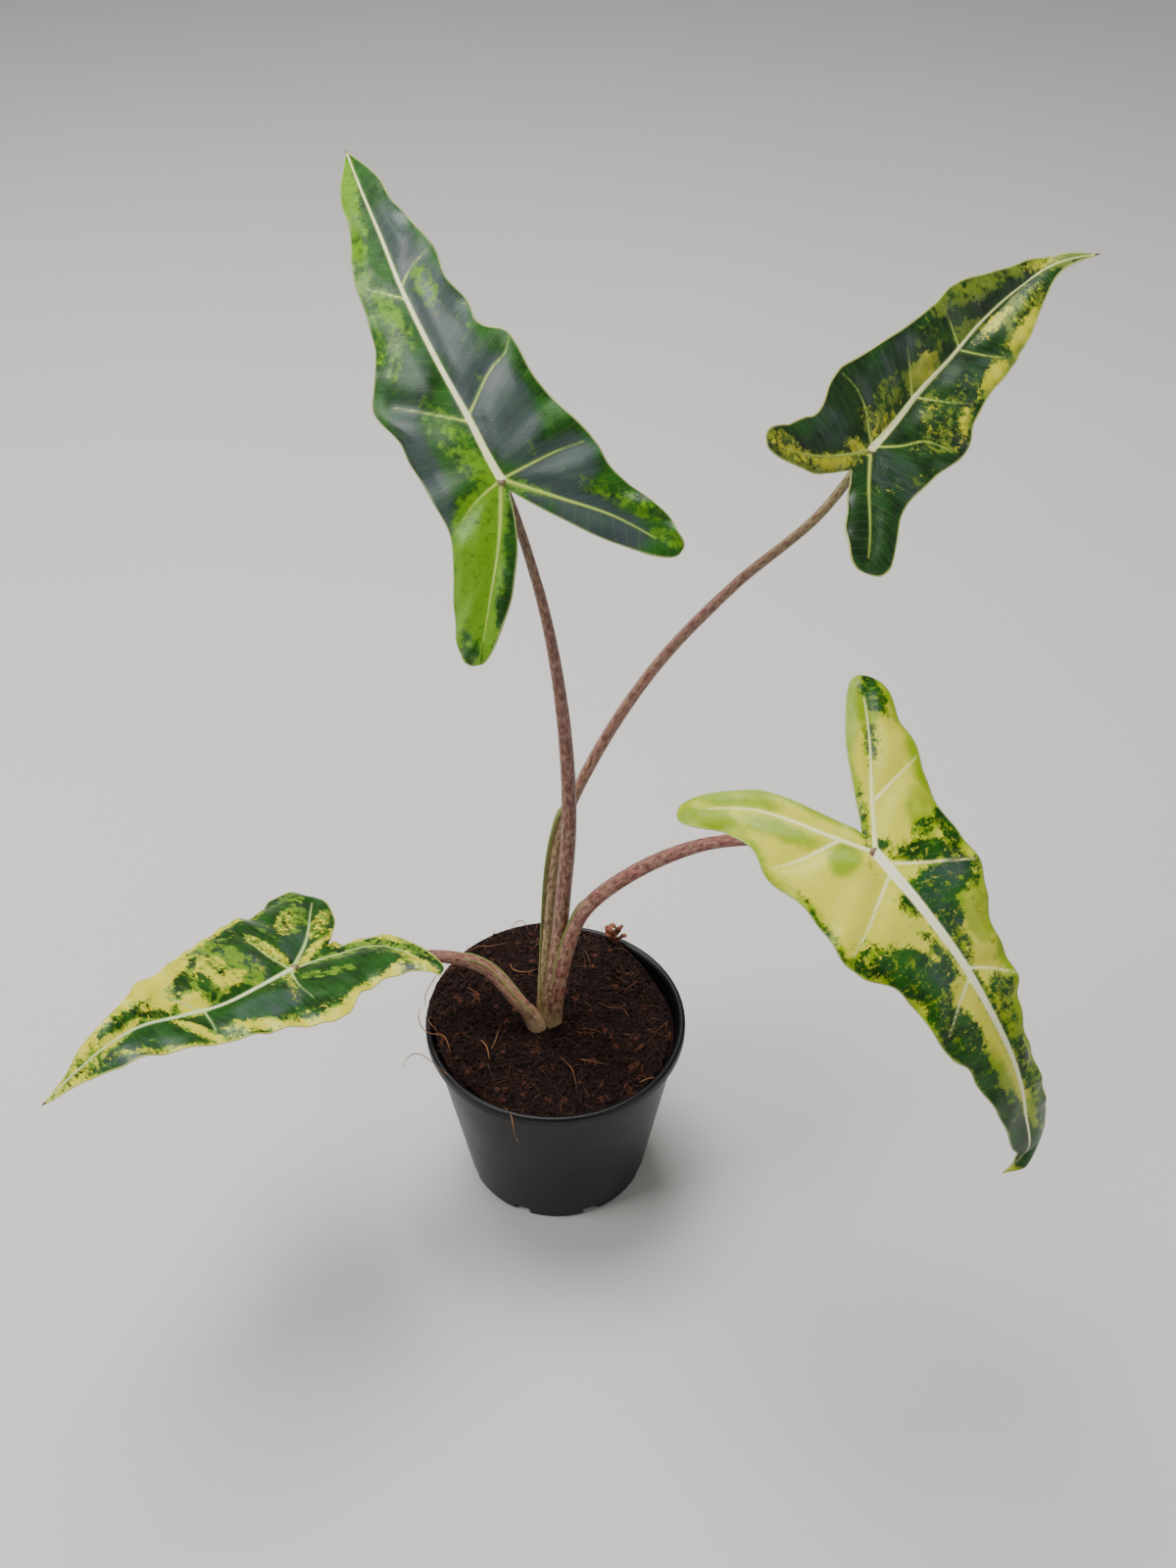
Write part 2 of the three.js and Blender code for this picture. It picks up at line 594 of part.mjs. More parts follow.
/** A stalk from the corm to the underside of its blade, widest at the foot where it sheathes the next. */
function petioleSolid(petiole, blade, grow) {
  const [foot, sheath, top] = petiole.radii;
  const radiusAt = (share) => {
    const lower = THREE.MathUtils.lerp(foot, sheath, Math.min(1, share / petiole.sheathEnd));
    return THREE.MathUtils.lerp(lower, top, smoothstep(petiole.sheathEnd, 1, share)) + grow;
  };
  const path = [...petiole.path, blade.attachment];
  return toSolid(barAlong(path, radiusAt, PETIOLE_STEPS, PETIOLE_SIDES));
}

const model = new THREE.Group();
model.add(meshOf('pot', makePot(), COLOURS.pot, 0.45));

const stalks = [];
const cormHole = cormSolid(GAP);
let stems = cormHole;
PETIOLES.forEach((petiole, index) => {
  const blade = BLADES[index];
  let solid = petioleSolid(petiole, blade, 0).subtract(cormHole);
  for (const earlier of stalks) {
    solid = solid.subtract(earlier);
  }
  solid = solid.subtract(toSolid(makeBlade(blade, GAP)));
  const grown = petioleSolid(petiole, blade, GAP);
  stalks.push(grown);
  stems = stems.add(grown);
  model.add(meshOf(`petiole_${index + 1}`, fromSolid(solid), COLOURS.petiole, 0.5));
});

const random = seededRandom(SEED);
let soil = toSolid(soilBody(random));
for (let crumb = 0; crumb < CRUMBS; crumb += 1) {
  soil = soil.add(toSolid(crumbAt(random)));
}
for (let fibre = 0; fibre < FIBRES; fibre += 1) {
  soil = soil.add(toSolid(fibreAt(random)));
}
model.add(meshOf('soil', fromSolid(soil.subtract(stems)), COLOURS.soil, 0.95));
model.add(meshOf('corm', fromSolid(cormSolid(0)), COLOURS.corm, 0.8));

BLADES.forEach((blade, index) => {
  model.add(meshOf(`leaf_blade_${index + 1}`, makeBlade(blade), COLOURS.leaf[index], 0.4));
});

export default model;
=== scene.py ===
import math

import bpy
import numpy as np
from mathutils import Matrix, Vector


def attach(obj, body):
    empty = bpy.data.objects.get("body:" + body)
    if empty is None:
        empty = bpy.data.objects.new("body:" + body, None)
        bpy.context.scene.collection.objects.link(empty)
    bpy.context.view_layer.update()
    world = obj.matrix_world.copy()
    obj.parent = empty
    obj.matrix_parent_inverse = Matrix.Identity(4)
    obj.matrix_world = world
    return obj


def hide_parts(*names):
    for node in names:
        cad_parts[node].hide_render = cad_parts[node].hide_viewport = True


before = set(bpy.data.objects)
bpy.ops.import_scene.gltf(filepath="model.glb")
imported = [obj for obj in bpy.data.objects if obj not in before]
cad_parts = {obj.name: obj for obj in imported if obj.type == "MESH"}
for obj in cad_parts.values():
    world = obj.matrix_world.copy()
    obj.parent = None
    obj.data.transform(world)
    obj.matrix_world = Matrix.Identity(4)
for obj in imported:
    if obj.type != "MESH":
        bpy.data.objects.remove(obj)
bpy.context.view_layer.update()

# Pot: a 12 cm nursery pot of black polypropylene, injection moulded in one thin tapered wall.
# A rolled rim stiffens its mouth. The wall is a profile turned about Z, and the drain notches
# round the foot are cut out of it, where the mould's cores stood.
MM = 0.001
POT_HEIGHT = 95
RIM_RADIUS = 60
RIM_HEIGHT = 6
RIM_ROLL = 1.6
WALL_TOP_RADIUS = 57.2
FOOT_RADIUS = 43
FOOT_BEVEL = 2
STANDING_RING = 8
BASE_RECESS = 0.35
POT_WALL = 1.3
POT_FLOOR = 1.6
FLOOR_BEVEL = 1.5
SHOULDER = POT_HEIGHT - RIM_HEIGHT
POT_SLOPE = (WALL_TOP_RADIUS - FOOT_RADIUS) / (SHOULDER - FOOT_BEVEL)
POT_SIDES = 240
DRAIN_HOLES = 8
DRAIN_RADIUS = 4.5
DRAIN_HEIGHT = 5
DRAIN_SIDES = 36
SHARP_ANGLE = math.radians(38)


def linear(hex_colour):
    """A hex sRGB colour as linear red, green, blue and alpha."""
    channels = [int(hex_colour[at : at + 2], 16) / 255 for at in (1, 3, 5)]
    return [c / 12.92 if c <= 0.04045 else ((c + 0.055) / 1.055) ** 2.4 for c in channels] + [1]


def feed(tree, node, inputs):
    """Fills inputs, named or numbered, with a value, a hex colour, a socket or a node's first output."""
    for key, value in inputs.items():
        if isinstance(value, bpy.types.Node):
            value = value.outputs[0]
        if isinstance(value, bpy.types.NodeSocket):
            tree.links.new(value, node.inputs[key])
        else:
            node.inputs[key].default_value = linear(value) if isinstance(value, str) else value


def add_node(tree, kind, inputs=None, stops=(), **settings):
    """Adds a node, gives it its settings and a colour ramp's stops in rising order, and feeds its inputs."""
    node = tree.nodes.new("ShaderNode" + kind)
    for name, value in settings.items():
        setattr(node, name, value)
    for at, (position, colour) in enumerate(stops):
        ramp = node.color_ramp.elements
        stop = ramp[at] if at < len(ramp) else ramp.new(position)
        stop.position, stop.color = position, linear(colour)
    feed(tree, node, inputs or {})
    return node


def new_material(name):
    """An empty material with its node tree and the Principled shader that it ends in."""
    material = bpy.data.materials.new(name)
    material.use_nodes = True
    tree = material.node_tree
    return material, tree, tree.nodes["Principled BSDF"]


def grid_triangles(rows, columns, wrap=False):
    """Two triangles for each cell of a grid numbered row by row; wrap joins each row's end to its start."""
    across = np.arange(columns if wrap else columns - 1)
    start = np.arange(rows - 1)[:, None] * columns
    a = start + across
    b = start + (across + 1) % columns
    cells = np.stack([a, b, b + columns, a + columns], -1).reshape(-1, 4)
    return np.vstack([cells[:, [0, 1, 2]], cells[:, [0, 2, 3]]])


def weld(places, triangles, step=0.01):
    """Joins points closer than step and drops collapsed triangles: the points to keep, the triangles."""
    _, first, index = np.unique(np.round(places / step), axis=0, return_index=True, return_inverse=True)
    a, b, c = index.reshape(-1)[triangles].T
    whole = (a != b) & (b != c) & (c != a)
    return first, np.stack([a, b, c], -1)[whole]


def make_piece(name, points, triangles, material, node=None, layers=None):
    """A smooth piece that rides on the plant, from points in millimetres; layers are point attributes."""
    mesh = bpy.data.meshes.new(name)
    mesh.from_pydata((np.asarray(points) * MM).tolist(), [], np.asarray(triangles).tolist())
    for layer, values in (layers or {}).items():
        flat = values.ndim == 1
        attribute = mesh.attributes.new(layer, "FLOAT" if flat else "FLOAT_VECTOR", "POINT")
        attribute.data.foreach_set("value" if flat else "vector", values.astype(np.float32).ravel())
    mesh.shade_smooth()
    mesh.materials.append(material)
    piece = bpy.data.objects.new(name, mesh)
    bpy.context.scene.collection.objects.link(piece)
    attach(piece, "root")
    if node:
        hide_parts(node)
    return piece


def turned(profile, sides):
    """A profile of radius and height turned about Z: radius times cosine and sine, and the height."""
    radius, height = np.asarray(profile, float).T[:, :, None]
    angle = np.linspace(0, 2 * math.pi, sides, endpoint=False)
    return np.stack([radius * np.cos(angle), radius * np.sin(angle), height + 0 * angle], -1)


def pot_inner_radius(height):
    """The radius of the wall's inner face at a height, straight below the rim's shoulder."""
    return FOOT_RADIUS - POT_WALL + POT_SLOPE * (np.minimum(height, SHOULDER) - FOOT_BEVEL)


def polypropylene():
    """Black moulded polypropylene: soft gloss, a fine spark-eroded grain, brown potting dust that clings.

    The dust lies in clouds 18 mm wide, the gloss changes over 42 mm, and the grain is 0.56 mm.
    """
    material, tree, shader = new_material("black moulded polypropylene")
    place = add_node(tree, "TexCoord").outputs["Object"]
    dust = add_node(tree, "TexNoise", {"Vector": place, "Scale": 55, "Detail": 6, "Roughness": 0.65})
    dusty = add_node(tree, "MapRange", {"Value": dust, "From Min": 0.58, "From Max": 0.8, "To Max": 0.3})
    colour = add_node(tree, "Mix", {0: dusty, 6: "#07080a", 7: "#2a1d15"}, data_type="RGBA")
    wear = add_node(tree, "TexNoise", {"Vector": place, "Scale": 24, "Detail": 3})
    rough = add_node(tree, "MapRange", {"Value": wear, "To Min": 0.3, "To Max": 0.5})
    grit = add_node(tree, "TexNoise", {"Vector": place, "Scale": 1800, "Detail": 2})
    bump = add_node(tree, "Bump", {"Height": grit, "Strength": 0.12, "Distance": 0.0002})
    satin = {"Roughness": rough, "Normal": bump, "IOR": 1.49, "Specular IOR Level": 0.3}
    feed(tree, shader, {"Base Color": colour.outputs[2], **satin})
    return material


lip = [
    (RIM_RADIUS - RIM_ROLL + RIM_ROLL * math.cos(a), POT_HEIGHT - RIM_ROLL + RIM_ROLL * math.sin(a))
    for a in np.linspace(0, math.pi * 0.8, 12)
]
skirt = [
    (RIM_RADIUS - RIM_ROLL + RIM_ROLL * math.sin(a), SHOULDER + RIM_ROLL * (1 - math.cos(a)) * 0.9)
    for a in np.linspace(0.15, math.pi / 2, 8)
]
wall_heights = np.linspace(FOOT_BEVEL, SHOULDER, 24)
wall = [(FOOT_RADIUS + POT_SLOPE * (z - FOOT_BEVEL), z) for z in wall_heights]
lining = [(float(pot_inner_radius(z)), z) for z in np.linspace(SHOULDER, POT_FLOOR + FLOOR_BEVEL, 20)]
foot = [
    (FOOT_RADIUS - FOOT_BEVEL + FOOT_BEVEL * math.sin(a), FOOT_BEVEL * (1 - math.cos(a)))
    for a in np.linspace(0, math.pi / 2, 7)
]
pot_profile = [
    (0, BASE_RECESS),
    (FOOT_RADIUS - STANDING_RING - 1, BASE_RECESS),
    (FOOT_RADIUS - STANDING_RING, 0),
    *foot[:-1],
    *wall,
    *skirt,
    *lip,
    (float(pot_inner_radius(SHOULDER)) + 0.3, POT_HEIGHT - 1.5 * RIM_ROLL),
    *lining,
    (float(pot_inner_radius(POT_FLOOR)) - FLOOR_BEVEL, POT_FLOOR),
    (0, POT_FLOOR),
]
pot_points = turned(pot_profile, POT_SIDES).reshape(-1, 3)
kept, pot_triangles = weld(pot_points, grid_triangles(len(pot_profile), POT_SIDES, wrap=True))
pot = make_piece("pot_wall", pot_points[kept], pot_triangles, polypropylene(), "pot")

cutters = []
for hole in range(DRAIN_HOLES):
    angle = (hole + 0.5) / DRAIN_HOLES * 2 * math.pi
    reach = FOOT_RADIUS - FOOT_BEVEL
    bpy.ops.mesh.primitive_cylinder_add(
        vertices=DRAIN_SIDES,
        radius=DRAIN_RADIUS * MM,
        depth=2 * DRAIN_HEIGHT * MM,
        location=(reach * math.cos(angle) * MM, reach * math.sin(angle) * MM, 0),
    )
    cutters.append(bpy.context.object)
for cutter in cutters:
    notch = pot.modifiers.new("drain notch", "BOOLEAN")
    notch.object = cutter
    notch.operation = "DIFFERENCE"
    notch.solver = "EXACT"
bpy.context.view_layer.update()
notched = bpy.data.meshes.new_from_object(pot.evaluated_get(bpy.context.evaluated_depsgraph_get()))
pot.modifiers.clear()
pot.data = notched
notched.name = "pot_wall"
notched.shade_smooth()
notched.set_sharp_from_angle(angle=SHARP_ANGLE)
for cutter in cutters:
    bpy.data.objects.remove(cutter)

# Soil: damp coir and peat, filled by hand, heaped over the rim at the back left and settled
# below it at the front right. One closed surface follows the pot's wall and carries its grain
# on top; loose crumbs and coir strands are strewn on it, and fine tan roots lie across it.
GAP = 0.32
SOIL_CENTRE_HEIGHT = 92.5
SOIL_LOW_EDGE = 86
SOIL_HEAP_EDGE = 96.2
SOIL_HEAP_DIRECTION = math.radians(132)
SOIL_OVERHANG = 3.6
LIP_INSET = 1.2
SOIL_SEGMENTS = 560
SOIL_RINGS = 140
STEM_FOOT = (-4, -0.5)
STEM_DIP = 1.2
STEM_DIP_REACH = 9
LATTICE = 256
chance = np.random.default_rng(2617)
lattice = chance.random((LATTICE, LATTICE))


def ease(low, high, value):
    """The smooth step from 0 at low to 1 at high: three squares less two cubes of the share."""
    share = np.clip((value - low) / (high - low), 0, 1)
    return share * share * (3 - 2 * share)


def grain(x, y, size):
    """Value noise from -1 to 1: random heights at the corners of squares of that size, eased between."""
    column, row = np.floor(x / size).astype(int), np.floor(y / size).astype(int)
    across, along = ease(0, 1, x / size - column), ease(0, 1, y / size - row)
    left, right = column % LATTICE, (column + 1) % LATTICE
    front, back = row % LATTICE, (row + 1) % LATTICE
    near = lattice[left, front] * (1 - across) + lattice[right, front] * across
    far = lattice[left, back] * (1 - across) + lattice[right, back] * across
    return 2 * (near * (1 - along) + far * along) - 1


def soil_edge_height(angle):
    """The height at which the soil meets the wall: low, and eased up towards the heap."""
    towards_heap = np.cos(angle - SOIL_HEAP_DIRECTION)
    return SOIL_LOW_EDGE + (SOIL_HEAP_EDGE - SOIL_LOW_EDGE) * ease(-0.3, 0.42, towards_heap)


def soil_height(radius, angle):
    """The mound without its grain: the centre's height eased to the edge's."""
    share = ease(6, 52, radius)
    return SOIL_CENTRE_HEIGHT + (soil_edge_height(angle) + 1 - SOIL_CENTRE_HEIGHT) * share


def soil_surface(radius, angle):
    """The mound with its grain: folded clods, two finer sizes of value noise, and a dip round the stems."""
    x, y = radius * np.cos(angle), radius * np.sin(angle)
    clods = 1.15 * (1 - 2 * np.abs(grain(x + 0.4 * y, y, 6.5))) + 0.8 * np.abs(grain(x, y + 0.3 * x, 2.9))
    fine = 0.7 * grain(x, y, 1.35) + 0.45 * grain(y, x, 0.8)
    from_stems = np.hypot(x - STEM_FOOT[0], y - STEM_FOOT[1])
    dip = STEM_DIP * np.exp(-((from_stems / STEM_DIP_REACH) ** 2))
    return soil_height(radius, angle) + 0.75 * (clods + fine) - 0.3 - dip


def coir_peat(name):
    """Damp coir and peat: matt near-black peat with red-brown coir dust and a few paler brown crumbs.

    The damp lies in patches 14 mm wide, and crumbs are 1.6 mm, the paler ones 2.3 mm.
    """
    material, tree, shader = new_material(name)
    place = add_node(tree, "TexCoord").outputs["Object"]
    patches = add_node(tree, "TexNoise", {"Vector": place, "Scale": 70, "Detail": 4, "Roughness": 0.7})
    crumbs = add_node(tree, "TexNoise", {"Vector": place, "Scale": 620, "Detail": 4, "Roughness": 0.75})
    stops = [(0.34, "#0d0605"), (0.52, "#22100c"), (0.7, "#452318")]
    base = add_node(tree, "ValToRGB", {"Fac": crumbs}, stops)
    limits = {"Value": patches, "From Min": 0.35, "From Max": 0.65, "To Max": 0.45}
    shade = add_node(tree, "MapRange", limits)
    damp = add_node(tree, "Mix", {0: shade, 6: base, 7: "#0c0605"}, data_type="RGBA")
    specks = add_node(tree, "TexVoronoi", {"Vector": place, "Scale": 430, "Randomness": 1})
    pale = add_node(tree, "SeparateColor", {0: specks.outputs["Color"]})
    chosen = add_node(tree, "Math", {0: pale, 1: 0.96}, operation="GREATER_THAN")
    colour = add_node(tree, "Mix", {0: chosen, 6: damp.outputs[2], 7: "#4c2b1d"}, data_type="RGBA")
    bump = add_node(tree, "Bump", {"Height": crumbs, "Strength": 0.8, "Distance": 0.0008})
    matt = {"Roughness": 0.92, "Normal": bump, "Specular IOR Level": 0.25}
    feed(tree, shader, {"Base Color": colour.outputs[2], **matt})
    return material


angles = np.linspace(0, 2 * math.pi, SOIL_SEGMENTS, endpoint=False)
floor_height = POT_FLOOR + GAP
edge = soil_edge_height(angles)
overlap = ease(0.5, 0.75, np.cos(angles - SOIL_HEAP_DIRECTION))
wall_contact = np.minimum(edge - 1, SHOULDER - 0.5)
lip_radius = pot_inner_radius(edge) - GAP - LIP_INSET + (LIP_INSET + SOIL_OVERHANG) * overlap
rough_lip = lip_radius + 0.6 * grain(60 * np.cos(angles), 60 * np.sin(angles), 3)
soil_rows = [
    (0, floor_height),
    (pot_inner_radius(floor_height) - FLOOR_BEVEL - GAP, floor_height),
    (pot_inner_radius(floor_height + 1.8) - GAP - 0.1, floor_height + 1.8),
    (pot_inner_radius(wall_contact) - GAP, wall_contact),
    (pot_inner_radius(edge) - GAP, edge),
    (rough_lip, edge + 0.5 - 0.4 * overlap),
]
for share in np.linspace(0, 1, SOIL_RINGS):
    ring = (lip_radius - 0.5) * (1 - share)
    grown = soil_surface(ring, angles)
    at_edge = ease(0, 0.02, share)
    soil_rows.append((ring, at_edge * grown + (1 - at_edge) * (edge + 0.8 + overlap)))
soil_rows[-1] = (0, soil_rows[-1][1].mean())
soil_rings = [np.broadcast_arrays(radius, height, angles) for radius, height in soil_rows]
soil_points = np.array([(r * np.cos(angles), r * np.sin(angles), z) for r, z, _ in soil_rings])
soil_points = soil_points.swapaxes(1, 2).reshape(-1, 3)
kept, soil_triangles = weld(soil_points, grid_triangles(len(soil_rows), SOIL_SEGMENTS, wrap=True))
potting_mix = coir_peat("coir and peat potting mix")
make_piece("soil_mound", soil_points[kept], soil_triangles, potting_mix, "soil")

CRUMBS = 8200
CRUMB_REACH = 58
golden = (1 + math.sqrt(5)) / 2
ICOSAHEDRON = np.array(
    [[-1, golden, 0], [1, golden, 0], [-1, -golden, 0], [1, -golden, 0], [0, -1, golden], [0, 1, golden]]
    + [[0, -1, -golden], [0, 1, -golden], [golden, 0, -1], [golden, 0, 1], [-golden, 0, -1], [-golden, 0, 1]]
) / math.hypot(1, golden)
ICOSAHEDRON_FACES = np.array(
    [[0, 11, 5], [0, 5, 1], [0, 1, 7], [0, 7, 10], [0, 10, 11], [1, 5, 9], [5, 11, 4], [11, 10, 2]]
    + [[10, 7, 6], [7, 1, 8], [3, 9, 4], [3, 4, 2], [3, 2, 6], [3, 6, 8], [3, 8, 9], [4, 9, 5]]
    + [[2, 4, 11], [6, 2, 10], [8, 6, 7], [9, 8, 1]]
)


def strewn(count, reach):
    """Even random places on the soil within reach: the radius grows with the root of the draw."""
    angle = 2 * math.pi * chance.random(count)
    return reach * np.sqrt(chance.random(count)), angle


def lip_limit(angle, margin):
    """The radius of the soil's lip at an angle, less a margin."""
    return np.interp(angle, angles, lip_radius, period=2 * math.pi) - margin


crumb_radius, crumb_angle = strewn(CRUMBS, CRUMB_REACH)
crumb_radius = np.minimum(crumb_radius, lip_limit(crumb_angle, 1))
crumb_size = 0.27 + 0.8 * chance.random(CRUMBS) ** 3
lumps = ICOSAHEDRON * (0.45 + chance.random((CRUMBS, 12, 1))) * crumb_size[:, None, None]
spin = 2 * math.pi * chance.random((CRUMBS, 1))
lump_x = lumps[..., 0] * np.cos(spin) - lumps[..., 1] * np.sin(spin)
lump_y = lumps[..., 0] * np.sin(spin) + lumps[..., 1] * np.cos(spin)
crumb_points = np.stack(
    [
        lump_x + (crumb_radius * np.cos(crumb_angle))[:, None],
        lump_y + (crumb_radius * np.sin(crumb_angle))[:, None],
        0.8 * lumps[..., 2] + (soil_surface(crumb_radius, crumb_angle) + 0.15 * crumb_size)[:, None],
    ],
    -1,
).reshape(-1, 3)
crumb_faces = (ICOSAHEDRON_FACES + 12 * np.arange(CRUMBS)[:, None, None]).reshape(-1, 3)
make_piece("soil_crumbs", crumb_points, crumb_faces, coir_peat("loose peat crumbs"))


def strands(paths, radii, sides):
    """Round strands along many paths at once: rings of two unit vectors square to the path, turned."""
    paths = np.asarray(paths, float)
    tangent = np.gradient(paths, axis=1)
    tangent /= np.linalg.norm(tangent, axis=-1, keepdims=True)
    helper = np.where(np.abs(tangent[..., 2:]) > 0.9, [1.0, 0, 0], [0, 0, 1.0])
    first = np.cross(tangent, helper)
    first /= np.linalg.norm(first, axis=-1, keepdims=True)
    second = np.cross(tangent, first)
    turn = np.linspace(0, 2 * math.pi, sides, endpoint=False)[:, None]
    taper = np.sin(np.linspace(0, math.pi, paths.shape[1])) ** 0.35
    taper[[0, -1]] = 0
    thick = (np.asarray(radii)[:, None] * taper)[:, :, None, None]
    rings = paths[:, :, None] + thick * (np.cos(turn) * first[:, :, None] + np.sin(turn) * second[:, :, None])
    one = grid_triangles(paths.shape[1], sides, wrap=True)
    count = paths.shape[1] * sides
    triangles = (one + count * np.arange(len(paths))[:, None, None]).reshape(-1, 3)
    points = rings.reshape(-1, 3)
    kept, triangles = weld(points, triangles, 0.0001)
    return points[kept], triangles


def plant_fibre(name, pale, dark):
    """Dry coir, root or bract: matt, tan to dark red-brown, changing over 11 mm along each strand."""
    material, tree, shader = new_material(name)
    place = add_node(tree, "TexCoord").outputs["Object"]
    change = add_node(tree, "TexNoise", {"Vector": place, "Scale": 90, "Detail": 2})
    share = add_node(tree, "MapRange", {"Value": change, "From Min": 0.38, "From Max": 0.62})
    colour = add_node(tree, "Mix", {0: share, 6: pale, 7: dark}, data_type="RGBA")
    feed(tree, shader, {"Base Color": colour.outputs[2], "Roughness": 0.75})
    return material


# Strands lie on the heap: each is bowed sideways and springs up in the middle
FIBRES = 340
FIBRE_REACH = 55
steps = np.linspace(-0.5, 0.5, 7)
fibre_radius, fibre_angle = strewn(FIBRES, FIBRE_REACH)
heading = 2 * math.pi * chance.random((FIBRES, 1))
length = 3 + 11 * chance.random((FIBRES, 1)) ** 2
bow = length * (chance.random((FIBRES, 1)) - 0.5) * 0.9 * (0.25 - steps**2)
x = (fibre_radius * np.cos(fibre_angle))[:, None] + steps * length * np.cos(heading) - bow * np.sin(heading)
y = (fibre_radius * np.sin(fibre_angle))[:, None] + steps * length * np.sin(heading) + bow * np.cos(heading)
at = np.arctan2(y, x)
reach = np.minimum(np.hypot(x, y), lip_limit(at, 0.5))
spring = (0.4 + 2.2 * chance.random((FIBRES, 1)) ** 2) * (1 - 3.4 * steps**2)
fibre_paths = np.stack([reach * np.cos(at), reach * np.sin(at), soil_height(reach, at) + 0.6 + spring], -1)

# Loose ends stand out of the heap: each leans outwards from its root, rises and falls a little
LOOSE_ENDS = 90
rise = np.linspace(0, 1, 7)
root_angle = SOIL_HEAP_DIRECTION + 2.8 * (chance.random((LOOSE_ENDS, 1)) - 0.5)
root_radius = np.minimum(46 + 13 * chance.random((LOOSE_ENDS, 1)), lip_limit(root_angle, 0.5))
end_length = 3 + 8 * chance.random((LOOSE_ENDS, 1)) ** 2
lean = 0.2 + 0.7 * chance.random((LOOSE_ENDS, 1))
swirl = 0.9 * (chance.random((LOOSE_ENDS, 1)) - 0.5) * end_length * rise**2 / root_radius
reach = root_radius + lean * end_length * rise
lifted = end_length * (1 - 0.5 * lean) * rise * (1 - 0.45 * rise)
height = soil_height(root_radius, root_angle) + 0.3 + lifted
loose_paths = np.stack([reach * np.cos(root_angle + swirl), reach * np.sin(root_angle + swirl), height], -1)
strand_radii = np.append(0.06 + 0.08 * chance.random(FIBRES), 0.08 + 0.06 * chance.random(LOOSE_ENDS))
fibre_points, fibre_faces = strands(np.concatenate([fibre_paths, loose_paths]), strand_radii, 4)
coir_strand = plant_fibre("coir strand", "#7d4d2a", "#36190f")
make_piece("soil_coir_strands", fibre_points, fibre_faces, coir_strand)


def hermite(a, b, slope_a, slope_b, share):
    """The cubic that leaves a and reaches b with those slopes, at a share of the way from 0 to 1."""
    cubic = 2 * a - 2 * b + slope_a + slope_b
    square = 3 * b - 3 * a - 2 * slope_a - slope_b
    return cubic * share**3 + square * share**2 + slope_a * share + a


def curve_at(points, place):
    """A uniform Catmull-Rom curve through given points, at places counted in points."""
    points = np.asarray(points, float)
    place = np.clip(place, 0, len(points) - 1)
    start = np.minimum(np.floor(place).astype(int), len(points) - 2)
    before, a = points[np.maximum(start - 1, 0)], points[start]
    b, after = points[start + 1], points[np.minimum(start + 2, len(points) - 1)]
    return hermite(a, b, (b - before) / 2, (after - a) / 2, (place - start)[:, None])


ROOT_STEPS = 26
ROOT_REACH = 54


def root_path(points):
    """A smooth root over the soil: its height is added to the mound's, held where it passes the rim."""
    path = curve_at(points, np.linspace(0, len(points) - 1, ROOT_STEPS))
    reach, at = np.hypot(path[:, 0], path[:, 1]), np.arctan2(path[:, 1], path[:, 0])
    path[:, 2] += soil_height(np.minimum(reach, ROOT_REACH), at) + 0.7
    return path


# Each root is a list of x, y and height over the soil
ROOTS = [
    [(-56, 24, 0.4), (-58, 18, 1.2), (-60.5, 10, 1.4), (-60, 3, 0.6)],
    [
        (-62, 4, 0.2), (-63, -2, 1.4), (-61, -10, 2.2), (-57, -14, 2), (-51, -15, 1.8),
        (-48.5, -19, 1.2), (-47, -24, 0.4),
    ],
    [(-57, -2, 0.3), (-58, -6, 1.4), (-56, -9, 1.5), (-54, -11, 0.3)],
    [
        (-68, -34, 2.2), (-66, -30, 4), (-62, -28, 5), (-58, -29, 4.5), (-53, -31.5, 3), (-48, -34, 1),
        (-43, -36, 0.2),
    ],
    [
        (-23, -47, 0.3), (-20.5, -52, 5), (-18.5, -57.5, 7), (-17.5, -61.4, 4), (-17, -61.2, -2),
        (-15.5, -60, -8),
    ],
    [(2, -21, 0.3), (5, -25, 1.6), (8, -29, 1.8), (10, -37, 0.4)],
    [(-34, -15, 0.2), (-31, -19, 1.6), (-29.5, -24, 0.3)],
    [(-29, -19, 0.2), (-27, -15, 1.8), (-26, -9, 0.4)],
    [(-44, 38, 0.3), (-37, 41, 1.4), (-31, 41, 1.7), (-23, 45, 0.4)],
    [(-23, 52, 0.2), (-20, 55, 3.5), (-16, 55, 4), (-13, 50, 0.3)],
    [(38, -33, 0.3), (42, -31.5, 1.4), (47, -30, 0.3)],
    [(11, -22, 0.2), (16, -23.5, 1.3), (24, -24, 0.3)],
    [(-8, 30, 0.3), (-14, 26, 2), (-20, 27, 1.8), (-22, 32, 0.2)],
    [(20, 12, 0.3), (25, 8, 1.8), (31, 9, 1.3), (34, 5, 0.2)],
]
root_radii = 0.2 + 0.08 * chance.random(len(ROOTS))
root_points, root_faces = strands([root_path(points) for points in ROOTS], root_radii, 6)
fine_root = plant_fibre("fine root", "#96653a", "#5c341c")
make_piece("soil_fine_roots", root_points, root_faces, fine_root)

